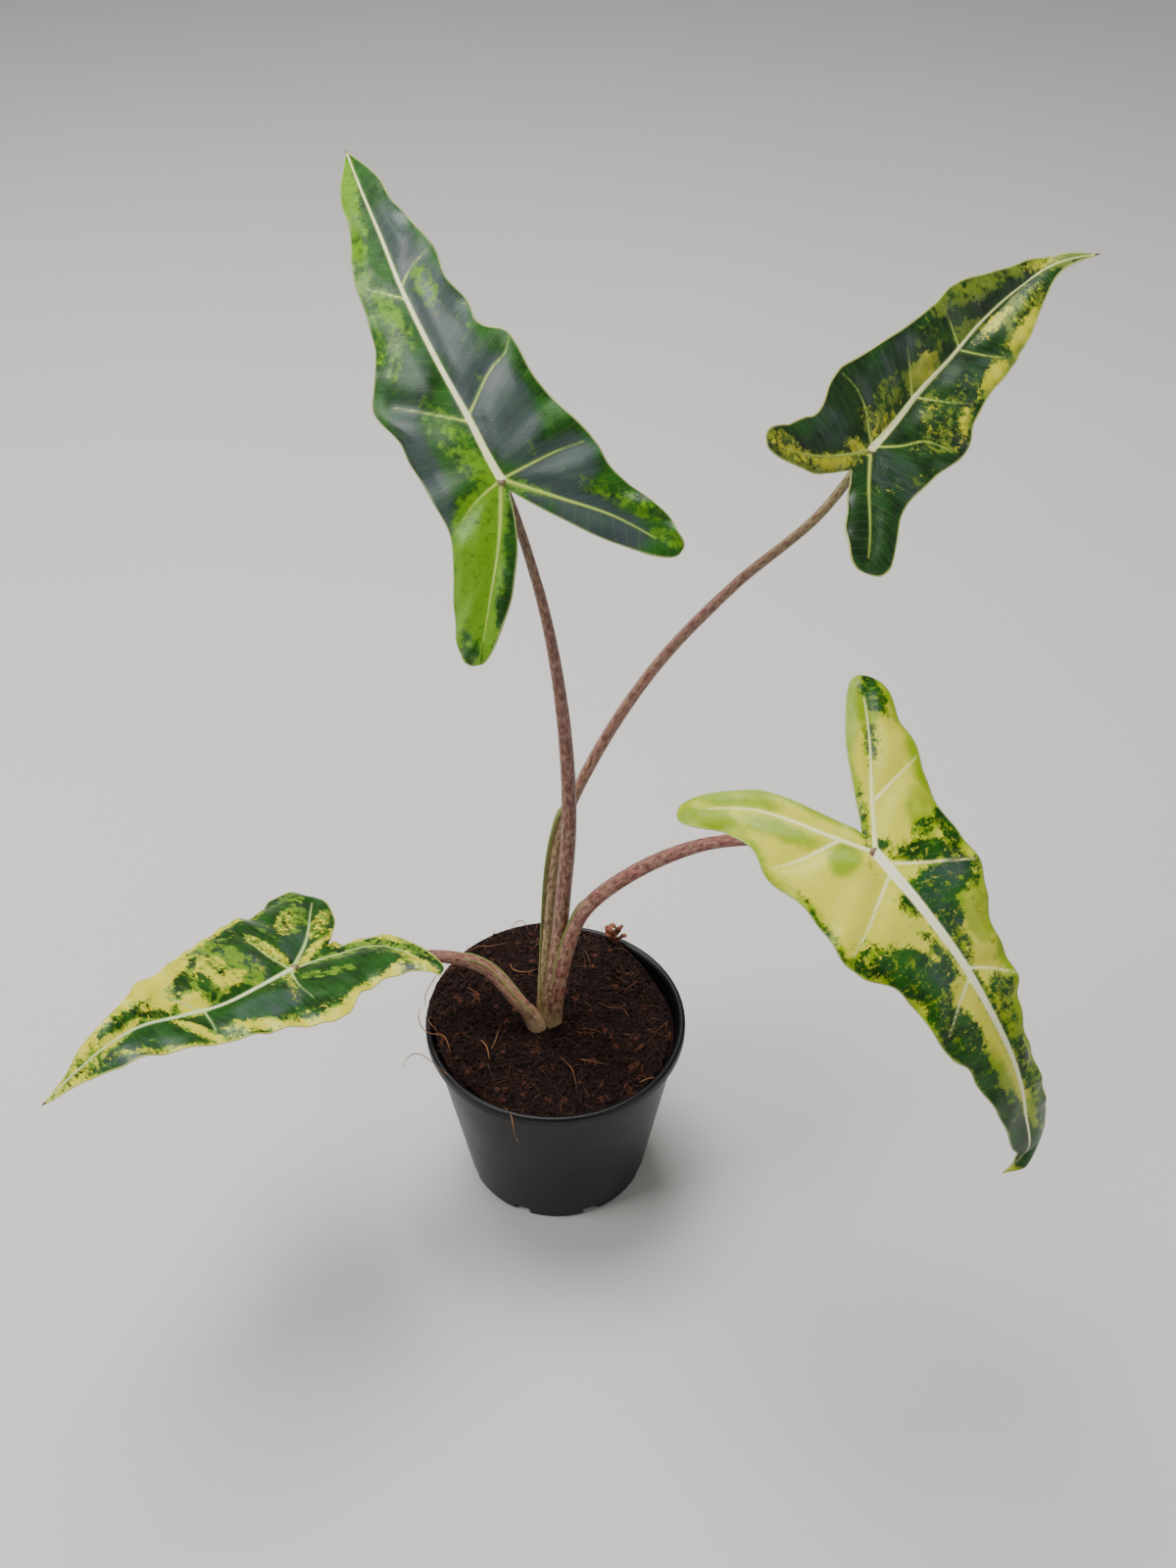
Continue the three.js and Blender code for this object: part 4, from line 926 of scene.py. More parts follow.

# A patch is its centre, half length, half width, the angle of its length from x, and how deep it
# is: a shallow one breaks up into speckle. Cuts are taken out of cream and lime, blush turns
# cream to lime, and edge blush does so along the margin. Rib and vein widths are half widths from
# the start to the end, scorched tip is the brown tip's length, soft is how soft lime's border is.
# The patches and colours of the blue-grey sheen are a painted reflection: light off the satin blade laid into
# its colour, not a pigment of the leaf.
MARKINGS = [
    {
        "cream": [],
        "lime": [
            (-6, 124, 18, 5, 78, 2), (-10, 100, 15, 4, 72, 0.4), (-13, 82, 10, 4, 80, -0.6),
            (-7.5, 73, 9, 2.4, 95, 0.8), (-13, 64, 11, 4, 70, -0.5), (-8, 20, 12, 4, 100, -0.5),
            (-4, 5, 9, 4, 90, 1), (-15, -9, 12, 9, 35, 1.4), (-26, -22, 18, 11, 50, 4),
            (-38, -38, 16, 10, 60, 4), (36, -30, 9, 1.4, -58, -0.9), (9, 74, 6, 2.4, 95, 0),
            (3, -4, 6, 1.2, -45, 1), (43, -49, 4, 1.4, -60, 0), (20, 60, 12, 2, 70, -1.8),
            (22, 5, 8, 3, 0, -2),
        ],
        "blush": [],
        "painted_sheen": [
            (7, 95, 18, 6, 92, 6), (9, 62, 32, 9, 92, 6), (12, 24, 26, 13, 95, 6),
            (20, -8, 16, 12, 0, 6), (24, -30, 20, 8, -55, 6), (-22, 20, 28, 5, 88, 3),
            (-26, 0, 14, 4, 80, 3), (-34, -30, 12, 4, 55, 1), (-14, 45, 12, 6, 40, 1),
        ],
        "cuts": [(-4, 96, 9, 2, 80, 3), (-44, -46, 5, 3, 60, 1)],
        "green_hex": "#235c08",
        "painted_sheen_hex": "#3d4a4b",
        "lime_hex": "#6b9c08",
        "cream_hex": "#c3c964",
        "vein_hex": "#b0c955",
        "rib_hex": "#faf9c2",
        "hem_hex": "#a9b168",
        "edge_blush": 2,
        "rib_widths": (0.3, 0.65, 1.1, 1.7),
        "basal_widths": (0.8, 0.42, 0.1),
        "vein_widths": (0.48, 0.32, 0.08),
        "scorched_tip": 1.5,
        "gloss": 0.4,
        "soft": 1.6,
    },
    {
        "cream": [
            (15, 82, 15, 3.2, 102, 3), (16.5, 63, 8, 3, 100, 2), (11.5, 97, 6, 2, 110, 1),
            (-5.5, 43, 8, 4, 88, 2), (-3, 12, 4, 1.2, 90, -0.2), (2, 84, 5, 1.3, 90, 1),
            (-8, -20, 8, 2, 60, 1.2), (-5, -6, 3.5, 1.6, 40, 1), (-19, -33, 8, 1.6, 35, 0),
            (19, 38, 4, 1.3, 110, 0.6), (-1.5, 119, 5, 1.4, 70, 0.6), (9, 31, 7, 3.4, 120, -1.2),
            (22, 6, 5, 0.6, 60, -1.7), (-8, 9, 4, 2, 40, -1), (-9, 26, 9, 3, 80, -1.7),
            (12, 48, 7, 3.4, 90, -1.7), (8, 100, 9, 3, 100, -1), (-15, 82, 11, 3, 70, -1.9),
            (-26, -37, 8, 2.6, 30, -0.4), (18, 24, 6, 2, 60, -1.4),
        ],
        "lime": [
            (-14, 84, 13, 4.2, 70, 0.8), (-18, 73, 8, 3, 90, 0.6), (-4, 73, 6, 2.6, 80, 2),
            (4, 95, 9, 3, 100, 0.6), (10, 32, 9, 5, 120, -0.4), (13, 50, 6, 3, 90, -0.6),
            (-9, 26, 10, 4, 80, -0.2), (-6, 10, 6, 3.5, 90, 0.2), (5, 128, 10, 2, 70, 0.6),
            (-10, 100, 9, 2.5, 60, 0.2), (15, 80, 17, 5, 100, 0.5), (-26, -38, 9, 3, 30, 0),
            (18, 24, 6, 3, 60, -0.2), (-13, 58, 8, 4, 80, -0.8),
        ],
        "blush": [(-5.5, 43, 12, 7, 88, -0.2), (-14, 84, 13, 5, 70, -0.2)],
        "painted_sheen": [
            (12, -2, 12, 8, 0, 1), (-16, 28, 18, 6, 90, 1), (12, 60, 12, 5, 90, 1),
            (-18, -14, 10, 6, 50, 1),
        ],
        "cuts": [(12, 75, 5, 2.6, 20, 2)],
        "green_hex": "#18420c",
        "painted_sheen_hex": "#2b4436",
        "lime_hex": "#65781e",
        "cream_hex": "#b9b718",
        "vein_hex": "#a9bb50",
        "rib_hex": "#f1f1b4",
        "hem_hex": "#b3b75c",
        "edge_blush": 1,
        "rib_widths": (0.15, 0.4, 0.95, 1.6),
        "basal_widths": (0.75, 0.4, 0.1),
        "vein_widths": (0.48, 0.32, 0.08),
        "scorched_tip": 2.5,
        "gloss": 0.4,
        "soft": 0.7,
    },
    {
        "cream": [(0, 20, 400, 400, 0, 6)],
        "lime": [],
        "blush": [
            (-24, 52, 26, 5, 72, 2), (-33, 8, 14, 4, 85, 2), (-38, -18, 14, 3, 65, 3),
            (-40, -52, 12, 7, 55, 3), (-30, -50, 16, 2.4, 45, 3), (38, -50, 14, 4, -60, 4),
            (28, -52, 14, 2.4, -50, 4), (10, -5, 6, 5, 0, 2), (23, -30, 16, 3.4, -58, 2),
            (36, 10, 22, 2, 92, 3), (38, -18, 16, 2.4, 88, 3), (-10, 118, 20, 5, 90, 3),
            (8, 104, 16, 5, 92, 2), (-9, 84, 12, 5, 80, 1), (-25, -2, 9, 5, 60, 1),
            (42, -40, 10, 3, -70, 3), (-20, 40, 12, 8, 80, 0.5), (2, 140, 16, 12, 90, 1),
            (20, -48, 14, 2, -50, 3),
        ],
        "painted_sheen": [
            (-14, 22, 12, 6, 0, 2), (6, 50, 10, 5, 90, 1), (-6, 40, 12, 4, 90, 1),
            (-29, -35, 9, 3, 50, 2),
        ],
        "cuts": [
            (-12, 23, 17, 7.5, -3, 1.8), (-24, 27, 9, 4, 10, 0.5), (-17, 11, 13, 4, -28, 1.6),
            (-29, 9, 9, 3.4, 80, 1.4), (-21, 3, 4, 3, 0, 1), (-4, -1, 2.4, 2, 0, 2),
            (-7, 33, 9, 6.5, 70, 1.6), (-5, 45, 8, 3.6, 80, 1), (-11, 69, 6, 4, 120, 0.9),
            (-9, 78, 8, 2.2, 80, 0.8), (-3.6, 76, 20, 1.7, 90, 1.2), (-6, 103, 16, 3, 88, 1.4),
            (-8, 124, 16, 3, 90, 1), (-9, 142, 12, 4, 90, 2), (7, 50, 6, 5, 0, 1.6),
            (3.4, 44, 9, 1.8, 98, 1.4), (13, 43, 13, 5, 118, 1.8), (20, 42, 17, 5.5, 112, 1.7),
            (27, 32, 10, 4.5, 150, 1), (14, 58, 12, 5, 60, 1.6), (12, 74, 12, 6, 95, 1.6),
            (17, 76, 12, 4, 100, 2), (12, 92, 17, 4.4, 96, 2), (11, 112, 20, 4.4, 94, 2),
            (5, 126, 16, 4.2, 92, 1.6), (5, 144, 20, 7, 90, 3), (1, 155, 12, 9, 90, 3),
            (34, 14, 12, 1.6, 85, 0.8), (-29, -36, 8, 2, 52, 1.2), (-43, -50, 8, 4.4, 75, 1.2),
            (-47, -57, 4, 3, 60, 1.6), (-4.5, -12, 7, 1, 58, 1), (-24, 40, 16, 5, 75, -0.8),
            (-20, 56, 14, 4, 75, -1),
        ],
        "green_hex": "#1d560c",
        "painted_sheen_hex": "#2a4c37",
        "lime_hex": "#88a200",
        "cream_hex": "#d2cf38",
        "vein_hex": "#f2f0a8",
        "rib_hex": "#fcfbd0",
        "hem_hex": "#a9b168",
        "edge_blush": 2,
        "rib_widths": (-0.3, 0.7, 1.35, 2.1),
        "basal_widths": (1, 0.6, 0.15),
        "vein_widths": (0.68, 0.46, 0.12),
        "scorched_tip": -1,
        "gloss": 0.22,
        "soft": 0.9,
    },
    {
        "cream": [
            (16, 78, 24, 5.5, 110, 6), (24, 57, 16, 4.5, 108, 6), (29, 44, 14, 2.6, 100, 4),
            (13, 98, 13, 2.2, 115, 3), (15, 62, 11, 6, 120, 1.8), (5, 53, 6, 4.5, 90, 2),
            (21, 45, 10, 3.6, 112, 1), (13, 37, 7, 3.6, 10, 1.2), (31, 34, 14, 1.4, 100, 1.4),
            (35, 14, 12, 0.8, 95, 1), (8, 29, 6, 2.8, 90, 0.6), (19, 30, 5, 3, 60, 0),
            (12, 1, 8, 2, 4, 0), (24, -21, 7, 3, -58, -0.5), (15, -33, 7, 2.4, -62, -0.5),
            (-37, 13, 11, 3.4, 80, 6), (-35, -6, 12, 3.4, 95, 6), (-35, -20, 9, 2, 95, 3),
            (-32, 25, 9, 2, 60, 3), (-20.5, 40, 8, 1.8, 55, 2.5), (-7.5, 61, 8, 1.7, 22, 2.5),
            (-42, -35, 9, 1.8, -12, 0.4), (-20, -45, 9, 1.8, 12, 0.4), (-5, -36, 8, 1.2, 60, 0.4),
            (3.5, -17, 11, 0.9, 105, 1), (-6, 8, 4, 0.6, -40, -0.4), (10, 106, 16, 1.2, 118, 0.2),
            (0.5, 120, 10, 1, 100, 0), (-8, 92, 20, 0.6, 75, 0.2), (-17, 62, 14, 0.7, 62, 0.5),
            (14, 20, 12, 7, 20, -1.5), (-6, 96, 12, 4, 80, -2.6), (26, -6, 12, 7, 60, -1.8),
            (-28, -40, 14, 5, 20, -1.6),
        ],
        "lime": [
            (6, 102, 16, 3, 105, 0.2), (14, 22, 14, 8, 20, 0.4), (24, 24, 12, 5, 100, -0.2),
            (-4, 92, 12, 4, 85, -1.2), (26, -28, 12, 5, -55, 0), (-24, -40, 16, 4, 20, 0),
            (-7, -22, 10, 2.4, 72, 0.4), (10, 46, 14, 8, 90, 1), (38, -40, 7, 4, -60, 0),
            (-14, -6, 8, 2, 60, 0), (20, 60, 20, 8, 110, 2),
        ],
        "blush": [],
        "painted_sheen": [
            (12, 18, 12, 7, 20, 1), (-2, 88, 14, 4, 85, 1), (-14, 30, 18, 7, 80, 2),
            (12, -14, 12, 6, -50, 1),
        ],
        "cuts": [
            (16, 50, 8, 2.6, 112, 1.6), (10, 41, 7, 3, 160, 1.4), (12.5, 84, 12, 2.2, 98, 1.6),
            (8, 70, 7, 2, 60, 1.2), (22, 38, 4, 1.6, 120, 1),
        ],
        "green_hex": "#1b4f06",
        "painted_sheen_hex": "#3c5c46",
        "lime_hex": "#6f9420",
        "cream_hex": "#d0c92a",
        "vein_hex": "#b2cb7c",
        "rib_hex": "#d3e2a6",
        "hem_hex": "#c8c356",
        "edge_blush": -9,
        "rib_widths": (0.15, 0.4, 0.8, 1.3),
        "basal_widths": (0.85, 0.45, 0.12),
        "vein_widths": (0.5, 0.34, 0.08),
        "scorched_tip": 2.5,
        "gloss": 0.34,
        "soft": 0.7,
    },
]


def blade_side(blade, is_right):
    """One side laid flat, in rows from the tip to the lobe's tip: rib, outer margin and inner margin."""
    lobe = blade["right" if is_right else "left"]
    pick = slice(4, 6) if is_right else slice(2, 4)
    stalk_margin = blade["at_stalk"][2:] if is_right else blade["at_stalk"][:2]
    midrib = [blade["tip"], *(row[:2] for row in blade["front"]), (0, 0)]
    basal = [(0, 0), *(row[:2] for row in lobe)]
    outer = [blade["tip"], *(row[pick] for row in blade["front"]), stalk_margin]
    outer += [*(row[2:4] for row in lobe[:-1]), lobe[-1]]
    inner = [blade["sinus"], *(row[4:6] for row in lobe[:-1])]
    margin = outer + inner[::-1]
    stalk_row, last_row = len(midrib) - 1, len(outer) - 1
    place = np.arange(last_row * ROWS_PER_VEIN + 1) / ROWS_PER_VEIN
    behind = place >= stalk_row
    rib = np.where(behind[:, None], curve_at(basal, place - stalk_row), curve_at(midrib, place))
    edge_line = curve_at(margin, place)
    outwards = edge_line - rib
    outwards /= np.maximum(np.linalg.norm(outwards, axis=1, keepdims=True), 1e-6)
    bulges = np.append(blade["right_bulges" if is_right else "left_bulges"], 0)
    bulge = bulges[place.astype(int)] * np.sin(math.pi * place) ** 2
    cap = lobe_cap(place - last_row + 1, basal, outer[-2] - np.array(inner[-1]), blade["blunt"][is_right])
    inner_line = curve_at(margin, 2 * last_row - place[behind]) - cap[behind]
    return place, rib, edge_line + bulge[:, None] * outwards + cap, behind, inner_line, stalk_row, last_row


def lobe_cap(place, basal, side, blunt):
    """The push that fills out a lobe's end, square to its rib.

    It goes as part^1.5 times the square root of 1 - part, where part is the share of the last row
    that is passed, and is scaled so that its peak is blunt.
    """
    part = np.clip(place, 0, 1)
    ahead = np.subtract(basal[-1], basal[-2])
    beside = side - ahead * (side @ ahead) / (ahead @ ahead)
    return (blunt * CAP_PEAK * part**1.5 * np.sqrt(1 - part))[:, None] * beside / np.linalg.norm(beside)


def blade_swing(place):
    """The ripple along the margin: two waves of unlike length, counted in rows."""
    return 0.6 * np.sin(0.9 * math.pi * place) - 0.4 * np.cos(2 * math.pi * place)


def flat_blade(blade):
    """The blade as one flat sheet: what is known at its points, its triangles, and its two sides.

    Each row runs straight from a rib to a margin. A point keeps its share of that way across, the
    row's span and place, and a ripple that grows with the square of the share.
    """
    sides = [blade_side(blade, is_right) for is_right in (False, True)]
    sheet = {"flat": [], "across": [], "span": [], "place": [], "ripple": []}
    triangles, count = [], 0
    for place, rib, outer_line, behind, inner_line, _, _ in sides:
        outer = (place, rib, outer_line, OUTER_COLUMNS)
        inner = (place[behind], rib[behind], inner_line, INNER_COLUMNS)
        for rows, start, end, columns in (outer, inner):
            span = np.linalg.norm(end - start, axis=1)[:, None] + 0 * columns
            across = columns + 0 * span
            flat = start[:, None] + across[..., None] * (end - start)[:, None]
            ripple = blade["wave"] * blade_swing(rows)[:, None] * np.minimum(1, span / 12) * across**2
            sheet["flat"].append(flat.reshape(-1, 2))
            sheet["across"].append(across.ravel())
            sheet["span"].append(span.ravel())
            sheet["place"].append(np.repeat(rows, len(columns)))
            sheet["ripple"].append(ripple.ravel())
            triangles.append(grid_triangles(len(rows), len(columns)) + count)
            count += across.size
    kept, faces = weld(np.vstack(sheet["flat"]), np.vstack(triangles), 0.004)
    sheet = {key: np.concatenate(parts)[kept] for key, parts in sheet.items()}
    a, b, c = sheet["flat"][faces.T]
    turned_over = np.cross(b - a, c - a) < 0
    faces[turned_over] = faces[turned_over][:, ::-1]
    return sheet, faces, sides


def on_arc(distance, bend):
    """Distance gone forwards and down along an arc of that bend."""
    return np.sin(bend * distance) / bend, (1 - np.cos(bend * distance)) / bend


def bend_blade(blade, x, y, lift):
    """Carries flat points into space: an arc across, a fold, a twist along the blade, an arc of droop."""
    heading, pitch, roll_angle = (math.radians(blade[key]) for key in ("heading", "pitch", "roll"))
    bearing = np.array([math.cos(heading), math.sin(heading), 0])
    tipward = math.cos(pitch) * bearing + [0, 0, math.sin(pitch)]
    level = np.array([math.sin(heading), -math.cos(heading), 0])
    upright = np.cross(level, tipward)
    across = level * math.cos(roll_angle) + upright * math.sin(roll_angle)
    face_up = upright * math.cos(roll_angle) - level * math.sin(roll_angle)
    ahead = y >= 0
    bend = np.where(ahead, blade["droop"], blade["lobe_droop"])
    forward, down = on_arc(np.abs(y), bend)
    slope = bend * y
    fold = math.radians(blade["fold"])
    twist = math.radians(blade["twist"]) * y / 100
    out, sag = on_arc(np.abs(x), blade["curl"])
    side = np.sign(x) * (math.cos(fold) * out + math.sin(fold) * sag)
    rise = math.sin(fold) * out - math.cos(fold) * sag + lift
    sideways = side * np.cos(twist) - rise * np.sin(twist)
    upwards = side * np.sin(twist) + rise * np.cos(twist)
    tip_part = np.where(ahead, forward, -forward) + upwards * np.sin(slope)
    up_part = upwards * np.cos(slope) - down
    bent = tip_part[:, None] * tipward + up_part[:, None] * face_up + sideways[:, None] * across
    return np.array(blade["attachment"]) + bent


def vein_distance(flat, line, width):
    """How far inside a vein a point lies, by half widths that taper along it, and how far from its line."""
    line = np.asarray(line, float)
    start, step = line[:-1], np.diff(line, axis=0)
    span = np.maximum((step**2).sum(1), 1e-9)
    offset = flat[:, None] - start
    share = np.clip((offset * step).sum(2) / span, 0, 1)
    distance = np.linalg.norm(offset - share[..., None] * step, axis=2)
    gone = (np.arange(len(step)) + share) / len(step)
    widths = np.interp(gone, np.linspace(0, 1, len(width)), width)
    return (widths - distance).max(1), distance.min(1)


def rib_fields(blade, marks, flat, sides):
    """How far inside the midrib, the basal ribs and the side veins each point lies, and how far off."""
    place, rib, _, behind, _, stalk_row, _ = sides[0]
    fields = [vein_distance(flat, rib[~behind | (place == stalk_row)], marks["rib_widths"])]
    basal_ribs = [rib[behind][: int(BASAL_RIB_SHARE * behind.sum())] for _, rib, _, behind, *_ in sides]
    side_veins = [curve_at(vein, np.linspace(0, len(vein) - 1, VEIN_STEPS)) for vein in blade["veins"]]
    for lines, widths in ((basal_ribs, "basal_widths"), (side_veins, "vein_widths")):
        inside, distance = zip(*(vein_distance(flat, line, marks[widths]) for line in lines))
        fields.append((np.max(inside, axis=0), np.min(distance, axis=0)))
    return fields


def blade_relief(blade, number, sheet, rib_distance, side_distance, tip_distance):
    """The sheet's height over its bent plane, in millimetres.

    The margin's ripple, puckers that rise between the side veins, dimples of value noise and a
    finer flutter fade out towards the tip, where a flick turns up the left side. The whole sheet
    is sunk a little below its bent plane.
    """
    flat, across, span = sheet["flat"], sheet["across"], sheet["span"]
    from_margin = ease(0, 8, (1 - across) * span)
    pucker = PUCKER * (1 - np.exp(-((side_distance / PUCKER_REACH) ** 2))) * ease(0, 8, rib_distance)
    dimple = DIMPLE * grain(flat[:, 0] + 31 * number, flat[:, 1], DIMPLE_SIZE) * ease(0, 6, rib_distance)
    wave = np.sin(2 * math.pi * 1.4 * sheet["place"] + number)
    flutter = FLUTTER * across**3 * wave * np.minimum(1, span / 12)
    calm = ease(4, blade["calm"], tip_distance)
    outside = flat[:, 0] - 1.5 * np.maximum(flat[:, 1] - blade["tip"][1] + 4, 0)
    flick = blade["flick"] * ease(34, 9, tip_distance) * ease(12, -4, outside)
    return calm * (sheet["ripple"] + pucker * from_margin + dimple + flutter) + flick - SINK


def unit_normals(points, triangles):
    """Area-weighted vertex normals of a triangle mesh."""
    corners = points[triangles]
    face = np.cross(corners[:, 1] - corners[:, 0], corners[:, 2] - corners[:, 0])
    normals = np.zeros_like(points)
    for axis in range(3):
        for corner in range(3):
            normals[:, axis] += np.bincount(triangles[:, corner], face[:, axis], len(points))
    return normals / np.linalg.norm(normals, axis=1, keepdims=True)


def thick_sheet(middle, faces, above, below):
    """A sheet with two faces, set off from its middle along the normals, and a hem round its free edges."""
    normals = unit_normals(middle, faces)
    total = len(middle)
    directed = np.vstack([faces[:, [0, 1]], faces[:, [1, 2]], faces[:, [2, 0]]])
    codes = directed[:, 0] * total + directed[:, 1]
    free = directed[~np.isin(codes, directed[:, 1] * total + directed[:, 0])]
    start, end = free.T
    hem = [np.stack([end, start, start + total], -1), np.stack([end, start + total, end + total], -1)]
    points = np.vstack([middle + above[:, None] * normals, middle - below[:, None] * normals])
    return points, np.vstack([faces, faces[:, ::-1] + total, *hem])


def patch_field(flat, patches):
    """How far inside a patch a point lies, in about millimetres, up to its depth: a turned ellipse."""
    field = np.full(len(flat), -30.0)
    for x, y, half_length, half_width, angle, depth in patches:
        c, s = math.cos(math.radians(angle)), math.sin(math.radians(angle))
        dx, dy = flat[:, 0] - x, flat[:, 1] - y
        reach = np.hypot((dx * c + dy * s) / half_length, (dy * c - dx * s) / half_width)
        field = np.maximum(field, np.minimum((1 - reach) * half_width + 0.6, depth))
    return field


def leaf_skin(name, marks):
    """A variegated leaf: a satin cuticle over coats of green, lime and cream cells, with a blue-grey sheen
    and a mauve highlight painted into the colour.

    Each coat is shown where a noise times its reach, in millimetres, plus how deep the point lies
    in the coat's patches passes a limit, so that its border feathers and breaks up into speckle.
    """
    material, tree, shader = new_material(name)
    flat = add_node(tree, "Attribute", attribute_name="flat").outputs["Vector"]
    nerve = add_node(tree, "Attribute", attribute_name="nerve").outputs["Vector"]
    elsewhere = add_node(tree, "Mapping", {"Vector": flat, "Location": (37, 11, 0)})
    fields = {"none": 0.0}
    for key in ("painted_sheen", "lime", "cream", "blush", "vein", "midrib", "margin", "scorch", "under"):
        fields[key] = add_node(tree, "Attribute", attribute_name=key).outputs["Fac"]
    # Each noise's vector, scale, detail and roughness: the first three are 11, 4.5 and 3 mm wide on
    # the blade, the streaks 13 mm across it, the cells 0.6 mm. The waved nerves are 4 to 5 mm apart
    noises = [
        ("broad", flat, 0.09, 4, 0.6),
        ("ragged", flat, 0.22, 9, 0.72),
        ("speckled", elsewhere, 0.34, 9, 0.82),
        ("streaks", nerve, 0.9, 5, 0.6),
        ("cells", flat, 1.7, 4, 0.6),
    ]
    for key, vector, scale, detail, roughness in noises:
        settings = {"Vector": vector, "Scale": scale, "Detail": detail, "Roughness": roughness}
        fields[key] = add_node(tree, "TexNoise", settings)
    waves = {"Vector": nerve, "Scale": 0.4, "Distortion": 3, "Detail": 2}
    fields["nerves"] = add_node(tree, "TexWave", waves, bands_direction="X").outputs["Fac"]
    colours = {key: marks[f"{key}_hex"] for key in ("green", "painted_sheen", "lime", "cream", "vein", "rib", "hem")}
    colours["deep green"] = [0.36 * c for c in linear(colours["green"])[:3]] + [1]
    # Mauve sheen is a painted highlight, streaked over the painted blue-grey sheen.
    colours["mauve sheen"] = "#4c4b57"
    colours["pale cream"] = "#e3da7c"
    colours["nerve green"] = "#aebb72"
    colours["scorched"] = "#5a3a20"
    colours["under green"] = "#8da377"
    soft = marks["soft"]
    # What is made, what lies under and what over it, the noise and its reach, the layer it is added
    # to, where the upper one starts and where it is full, and how much of it is seen
    coats = [
        ("leaf", "deep green", "green", "speckled", 0.5, "broad", 0.58, 0.9, 1),
        # The next two coats are a painted sheen: blue-grey mottled with mauve streaks, standing in for light
        # reflected off the satin cuticle.
        ("mottled painted sheen", "painted_sheen", "mauve sheen", "streaks", 1, "none", 0.42, 0.7, 0.6),
        ("leaf", "leaf", "mottled painted sheen", "streaks", 6, "painted_sheen", 1.5, 6.5, 0.8),
        ("mottled lime", "lime", "green", "speckled", 1, "none", 0.5, 0.62, 0.55),
        ("leaf", "leaf", "mottled lime", "ragged", 14, "lime", 7 - soft, 7 + soft, 0.94),
        ("streaked cream", "cream", "pale cream", "ragged", 1, "none", 0.4, 0.7, 0.25),
        ("blushed cream", "streaked cream", "lime", "broad", 8, "blush", 1.5, 6, 1),
        ("leaf", "leaf", "blushed cream", "speckled", 17, "cream", 8.1, 8.9, 1),
        ("leaf", "leaf", "nerve green", "nerves", 1, "none", 0.9, 1, 0.04),
        ("leaf", "leaf", "vein", "none", 0, "vein", -0.8, 0, 0.22),
        ("bright vein", "vein", "rib", "none", 0, "midrib", -0.6, 0.5, 1),
        ("leaf", "leaf", "bright vein", "ragged", 0.4, "vein", 0.12, 0.32, 1),
        ("leaf", "leaf", "hem", "none", 0, "margin", 0.75, 0.3, 0.75),
        ("leaf", "leaf", "scorched", "ragged", 2, "scorch", 0.6, 2, 1),
        ("leaf", "leaf", "under green", "none", 0, "under", 0, 1, 0.35),
    ]
    for made, under, over, noise, reach, layer, start, full, most in coats:
        depth = {0: fields[noise], 1: reach, 2: fields[layer]}
        depth = add_node(tree, "Math", depth, operation="MULTIPLY_ADD")
        limits = {"Value": depth, "From Min": start, "From Max": full, "To Max": most}
        share = add_node(tree, "MapRange", limits, interpolation_type="SMOOTHSTEP")
        sides = {0: share, 6: colours[under], 7: colours[over]}
        colours[made] = add_node(tree, "Mix", sides, data_type="RGBA").outputs[2]
    limits = {"Value": fields["cells"], "From Min": 0.3, "From Max": 0.7, "To Min": 0.84, "To Max": 1.12}
    sides = {0: 1.0, 6: colours["leaf"], 7: add_node(tree, "MapRange", limits)}
    shaded = add_node(tree, "Mix", sides, data_type="RGBA", blend_type="MULTIPLY").outputs[2]
    limits = {"Value": fields["broad"], "From Min": 0.3, "From Max": 0.7, "To Min": 0.25, "To Max": 0.4}
    gloss = {0: fields["under"], 1: 0.22, 2: add_node(tree, "MapRange", limits)}
    matt = add_node(tree, "Math", gloss, operation="MULTIPLY_ADD")
    relief = {0: fields["nerves"], 1: 0.08, 2: fields["cells"]}
    height = add_node(tree, "Math", relief, operation="MULTIPLY_ADD")
    bump = add_node(tree, "Bump", {"Height": height, "Strength": 0.3, "Distance": 0.0004})
    flesh = {"Subsurface Weight": 0.1, "Subsurface Radius": (0.001, 0.0016, 0.0005)}
    cuticle = {"Roughness": matt, "Normal": bump, "Specular IOR Level": marks["gloss"]}
    feed(tree, shader, {"Base Color": shaded, **cuticle, **flesh})
    return material


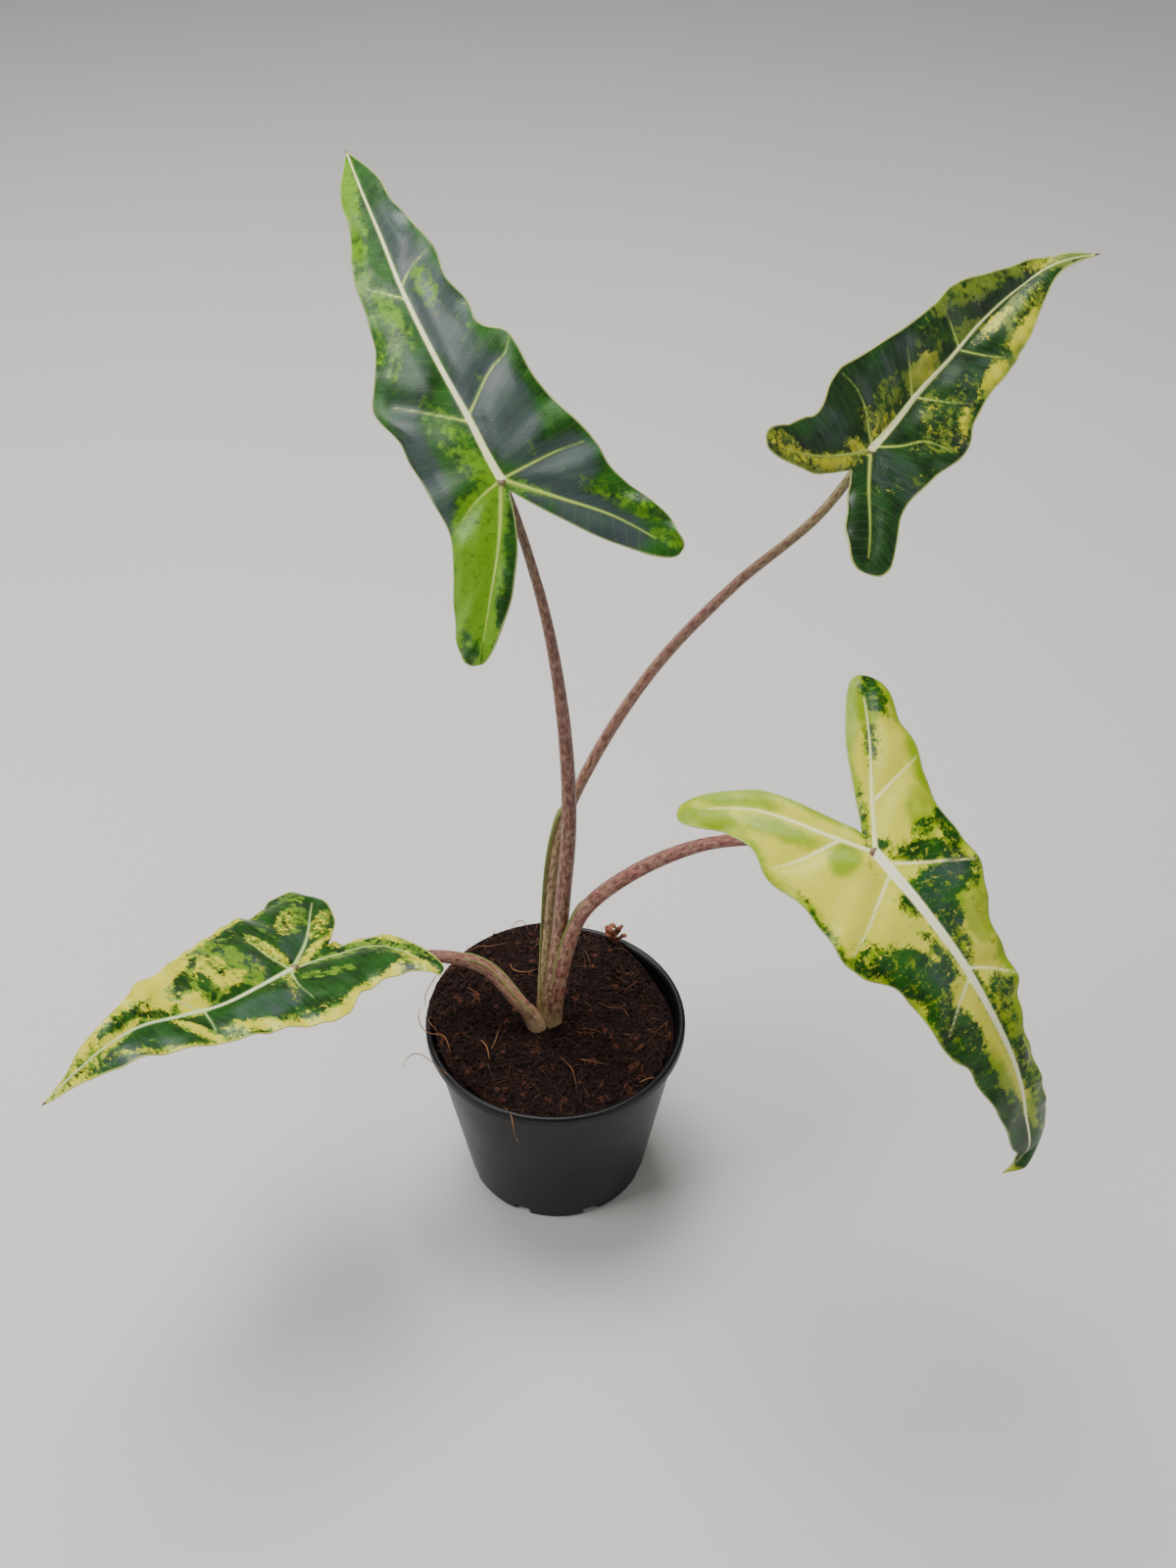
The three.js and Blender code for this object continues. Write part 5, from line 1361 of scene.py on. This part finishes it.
outer_steps = np.linspace(0, 1, 41)
OUTER_COLUMNS = 0.75 * outer_steps + 0.25 * ease(0, 1, outer_steps)
INNER_COLUMNS = np.linspace(0, 1, 17)
for number, (blade, marks) in enumerate(zip(BLADES, MARKINGS), start=1):
    sheet, faces, sides = flat_blade(blade)
    flat, across, place = sheet["flat"], sheet["across"], sheet["place"]
    (on_mid, mid_distance), (on_basal, basal_distance), (on_side, side_distance) = rib_fields(
        blade, marks, flat, sides
    )
    edge_distance = (1 - across) * sheet["span"]
    tip_distance = np.hypot(*(flat - blade["tip"]).T)
    rib_distance = np.minimum(mid_distance, basal_distance)
    relief = blade_relief(blade, number, sheet, rib_distance, side_distance, tip_distance)
    middle = bend_blade(blade, flat[:, 0], flat[:, 1], relief)

    *_, stalk_row, last_row = sides[0]
    along_mid = np.clip(place / stalk_row, 0, 1)
    along_basal = np.clip((last_row - place) / (last_row - stalk_row), 0, 1)
    half = HALF_THICKNESS * (0.6 + 0.4 * ease(0, 3, edge_distance))
    crest = 0.3 * ease(-0.3, 1.2, on_mid) + 0.2 * ease(-0.3, 0.8, on_basal)
    keel = MIDRIB_RAISE * along_mid * np.exp(-((mid_distance / 1.5) ** 2)) * (flat[:, 1] > -3)
    keel = np.maximum(keel, BASAL_RAISE * along_basal * np.exp(-((basal_distance / 1.1) ** 2)))
    keel = np.maximum(keel, SIDE_VEIN_RAISE * np.exp(-((side_distance / 0.8) ** 2)) * (1 - across))
    points, skin_faces = thick_sheet(middle, faces, half + crest, half + keel)

    cuts = patch_field(flat, marks["cuts"])
    cream = np.minimum(patch_field(flat, marks["cream"]), -cuts)
    layers = {
        "flat": np.stack([flat[:, 0] + 200 * number, flat[:, 1], 0 * across], -1),
        "nerve": np.stack([place * 4, across * sheet["span"] / 12, 0 * across + 9 * number], -1),
        "cream": cream,
        "lime": np.maximum(np.minimum(patch_field(flat, marks["lime"]), -cuts), cream + 0.4),
        # Where the painted blue-grey sheen lies on the blade.
        "painted_sheen": patch_field(flat, marks["painted_sheen"]),
        "blush": np.maximum(patch_field(flat, marks["blush"]), marks["edge_blush"] - 0.9 * edge_distance),
        "vein": np.max([on_mid, on_basal, on_side], axis=0),
        "midrib": on_mid,
        "margin": edge_distance,
        "scorch": marks["scorched_tip"] - tip_distance,
        "under": 0 * across,
    }
    layers = {key: np.concatenate([values, values]) for key, values in layers.items()}
    layers["under"][len(middle) :] = 1
    skin = leaf_skin(f"variegated leaf skin {number}", marks)
    make_piece(f"blade_{number}", points, skin_faces, skin, f"leaf_blade_{number}", layers)

# Studio: a plain pale floor of matt paint, faintly mottled over 330 mm, a soft light over the
# plant and one at each side. The camera looks down at 41 degrees, as in the photograph.
FLOOR_HALF = 6
PLANT_MIDDLE = (0, 0, 0.25)
CAMERA_PLACE = (15, -546.5, 709)
CAMERA_DOWN = 40.8
LENS = 40.5
SENSOR = 36

floor_paint, tree, shader = new_material("matt pale studio floor")
place = add_node(tree, "TexCoord").outputs["Object"]
mottle = add_node(tree, "TexNoise", {"Vector": place, "Scale": 3, "Detail": 3})
paint = add_node(tree, "Mix", {0: mottle, 6: "#c6c4c0", 7: "#cecbc8"}, data_type="RGBA")
feed(tree, shader, {"Base Color": paint.outputs[2], "Roughness": 0.8})
corners = [(x * FLOOR_HALF, y * FLOOR_HALF, 0) for x, y in ((-1, -1), (1, -1), (1, 1), (-1, 1))]
floor_mesh = bpy.data.meshes.new("studio_floor")
floor_mesh.from_pydata(corners, [], [(0, 1, 2, 3)])
floor_mesh.materials.append(floor_paint)
floor = bpy.data.objects.new("studio_floor", floor_mesh)
bpy.context.scene.collection.objects.link(floor)


def soft_light(name, place, size, power):
    """A square area light that faces the plant."""
    lamp = bpy.data.lights.new(name, "AREA")
    lamp.size = size
    lamp.energy = power
    light = bpy.data.objects.new(name, lamp)
    light.location = place
    light.rotation_euler = (Vector(PLANT_MIDDLE) - Vector(place)).to_track_quat("-Z", "Y").to_euler()
    bpy.context.scene.collection.objects.link(light)


soft_light("overhead light", (-0.2, 0.45, 1.7), 0.9, 36)
soft_light("left light", (-1.5, -0.5, 1.3), 0.9, 27)
soft_light("right light", (1.5, -0.9, 0.9), 1.2, 8)
world = bpy.data.worlds.new("studio")
world.use_nodes = True
feed(world.node_tree, world.node_tree.nodes["Background"], {"Color": "#e6e7ea", "Strength": 0.3})
bpy.context.scene.world = world

camera_data = bpy.data.cameras.new("camera")
camera_data.lens = LENS
camera_data.sensor_width = SENSOR
camera = bpy.data.objects.new("camera", camera_data)
camera.location = [c * MM for c in CAMERA_PLACE]
camera.rotation_euler = (math.radians(90 - CAMERA_DOWN), 0, 0)
bpy.context.scene.collection.objects.link(camera)
bpy.context.scene.camera = camera
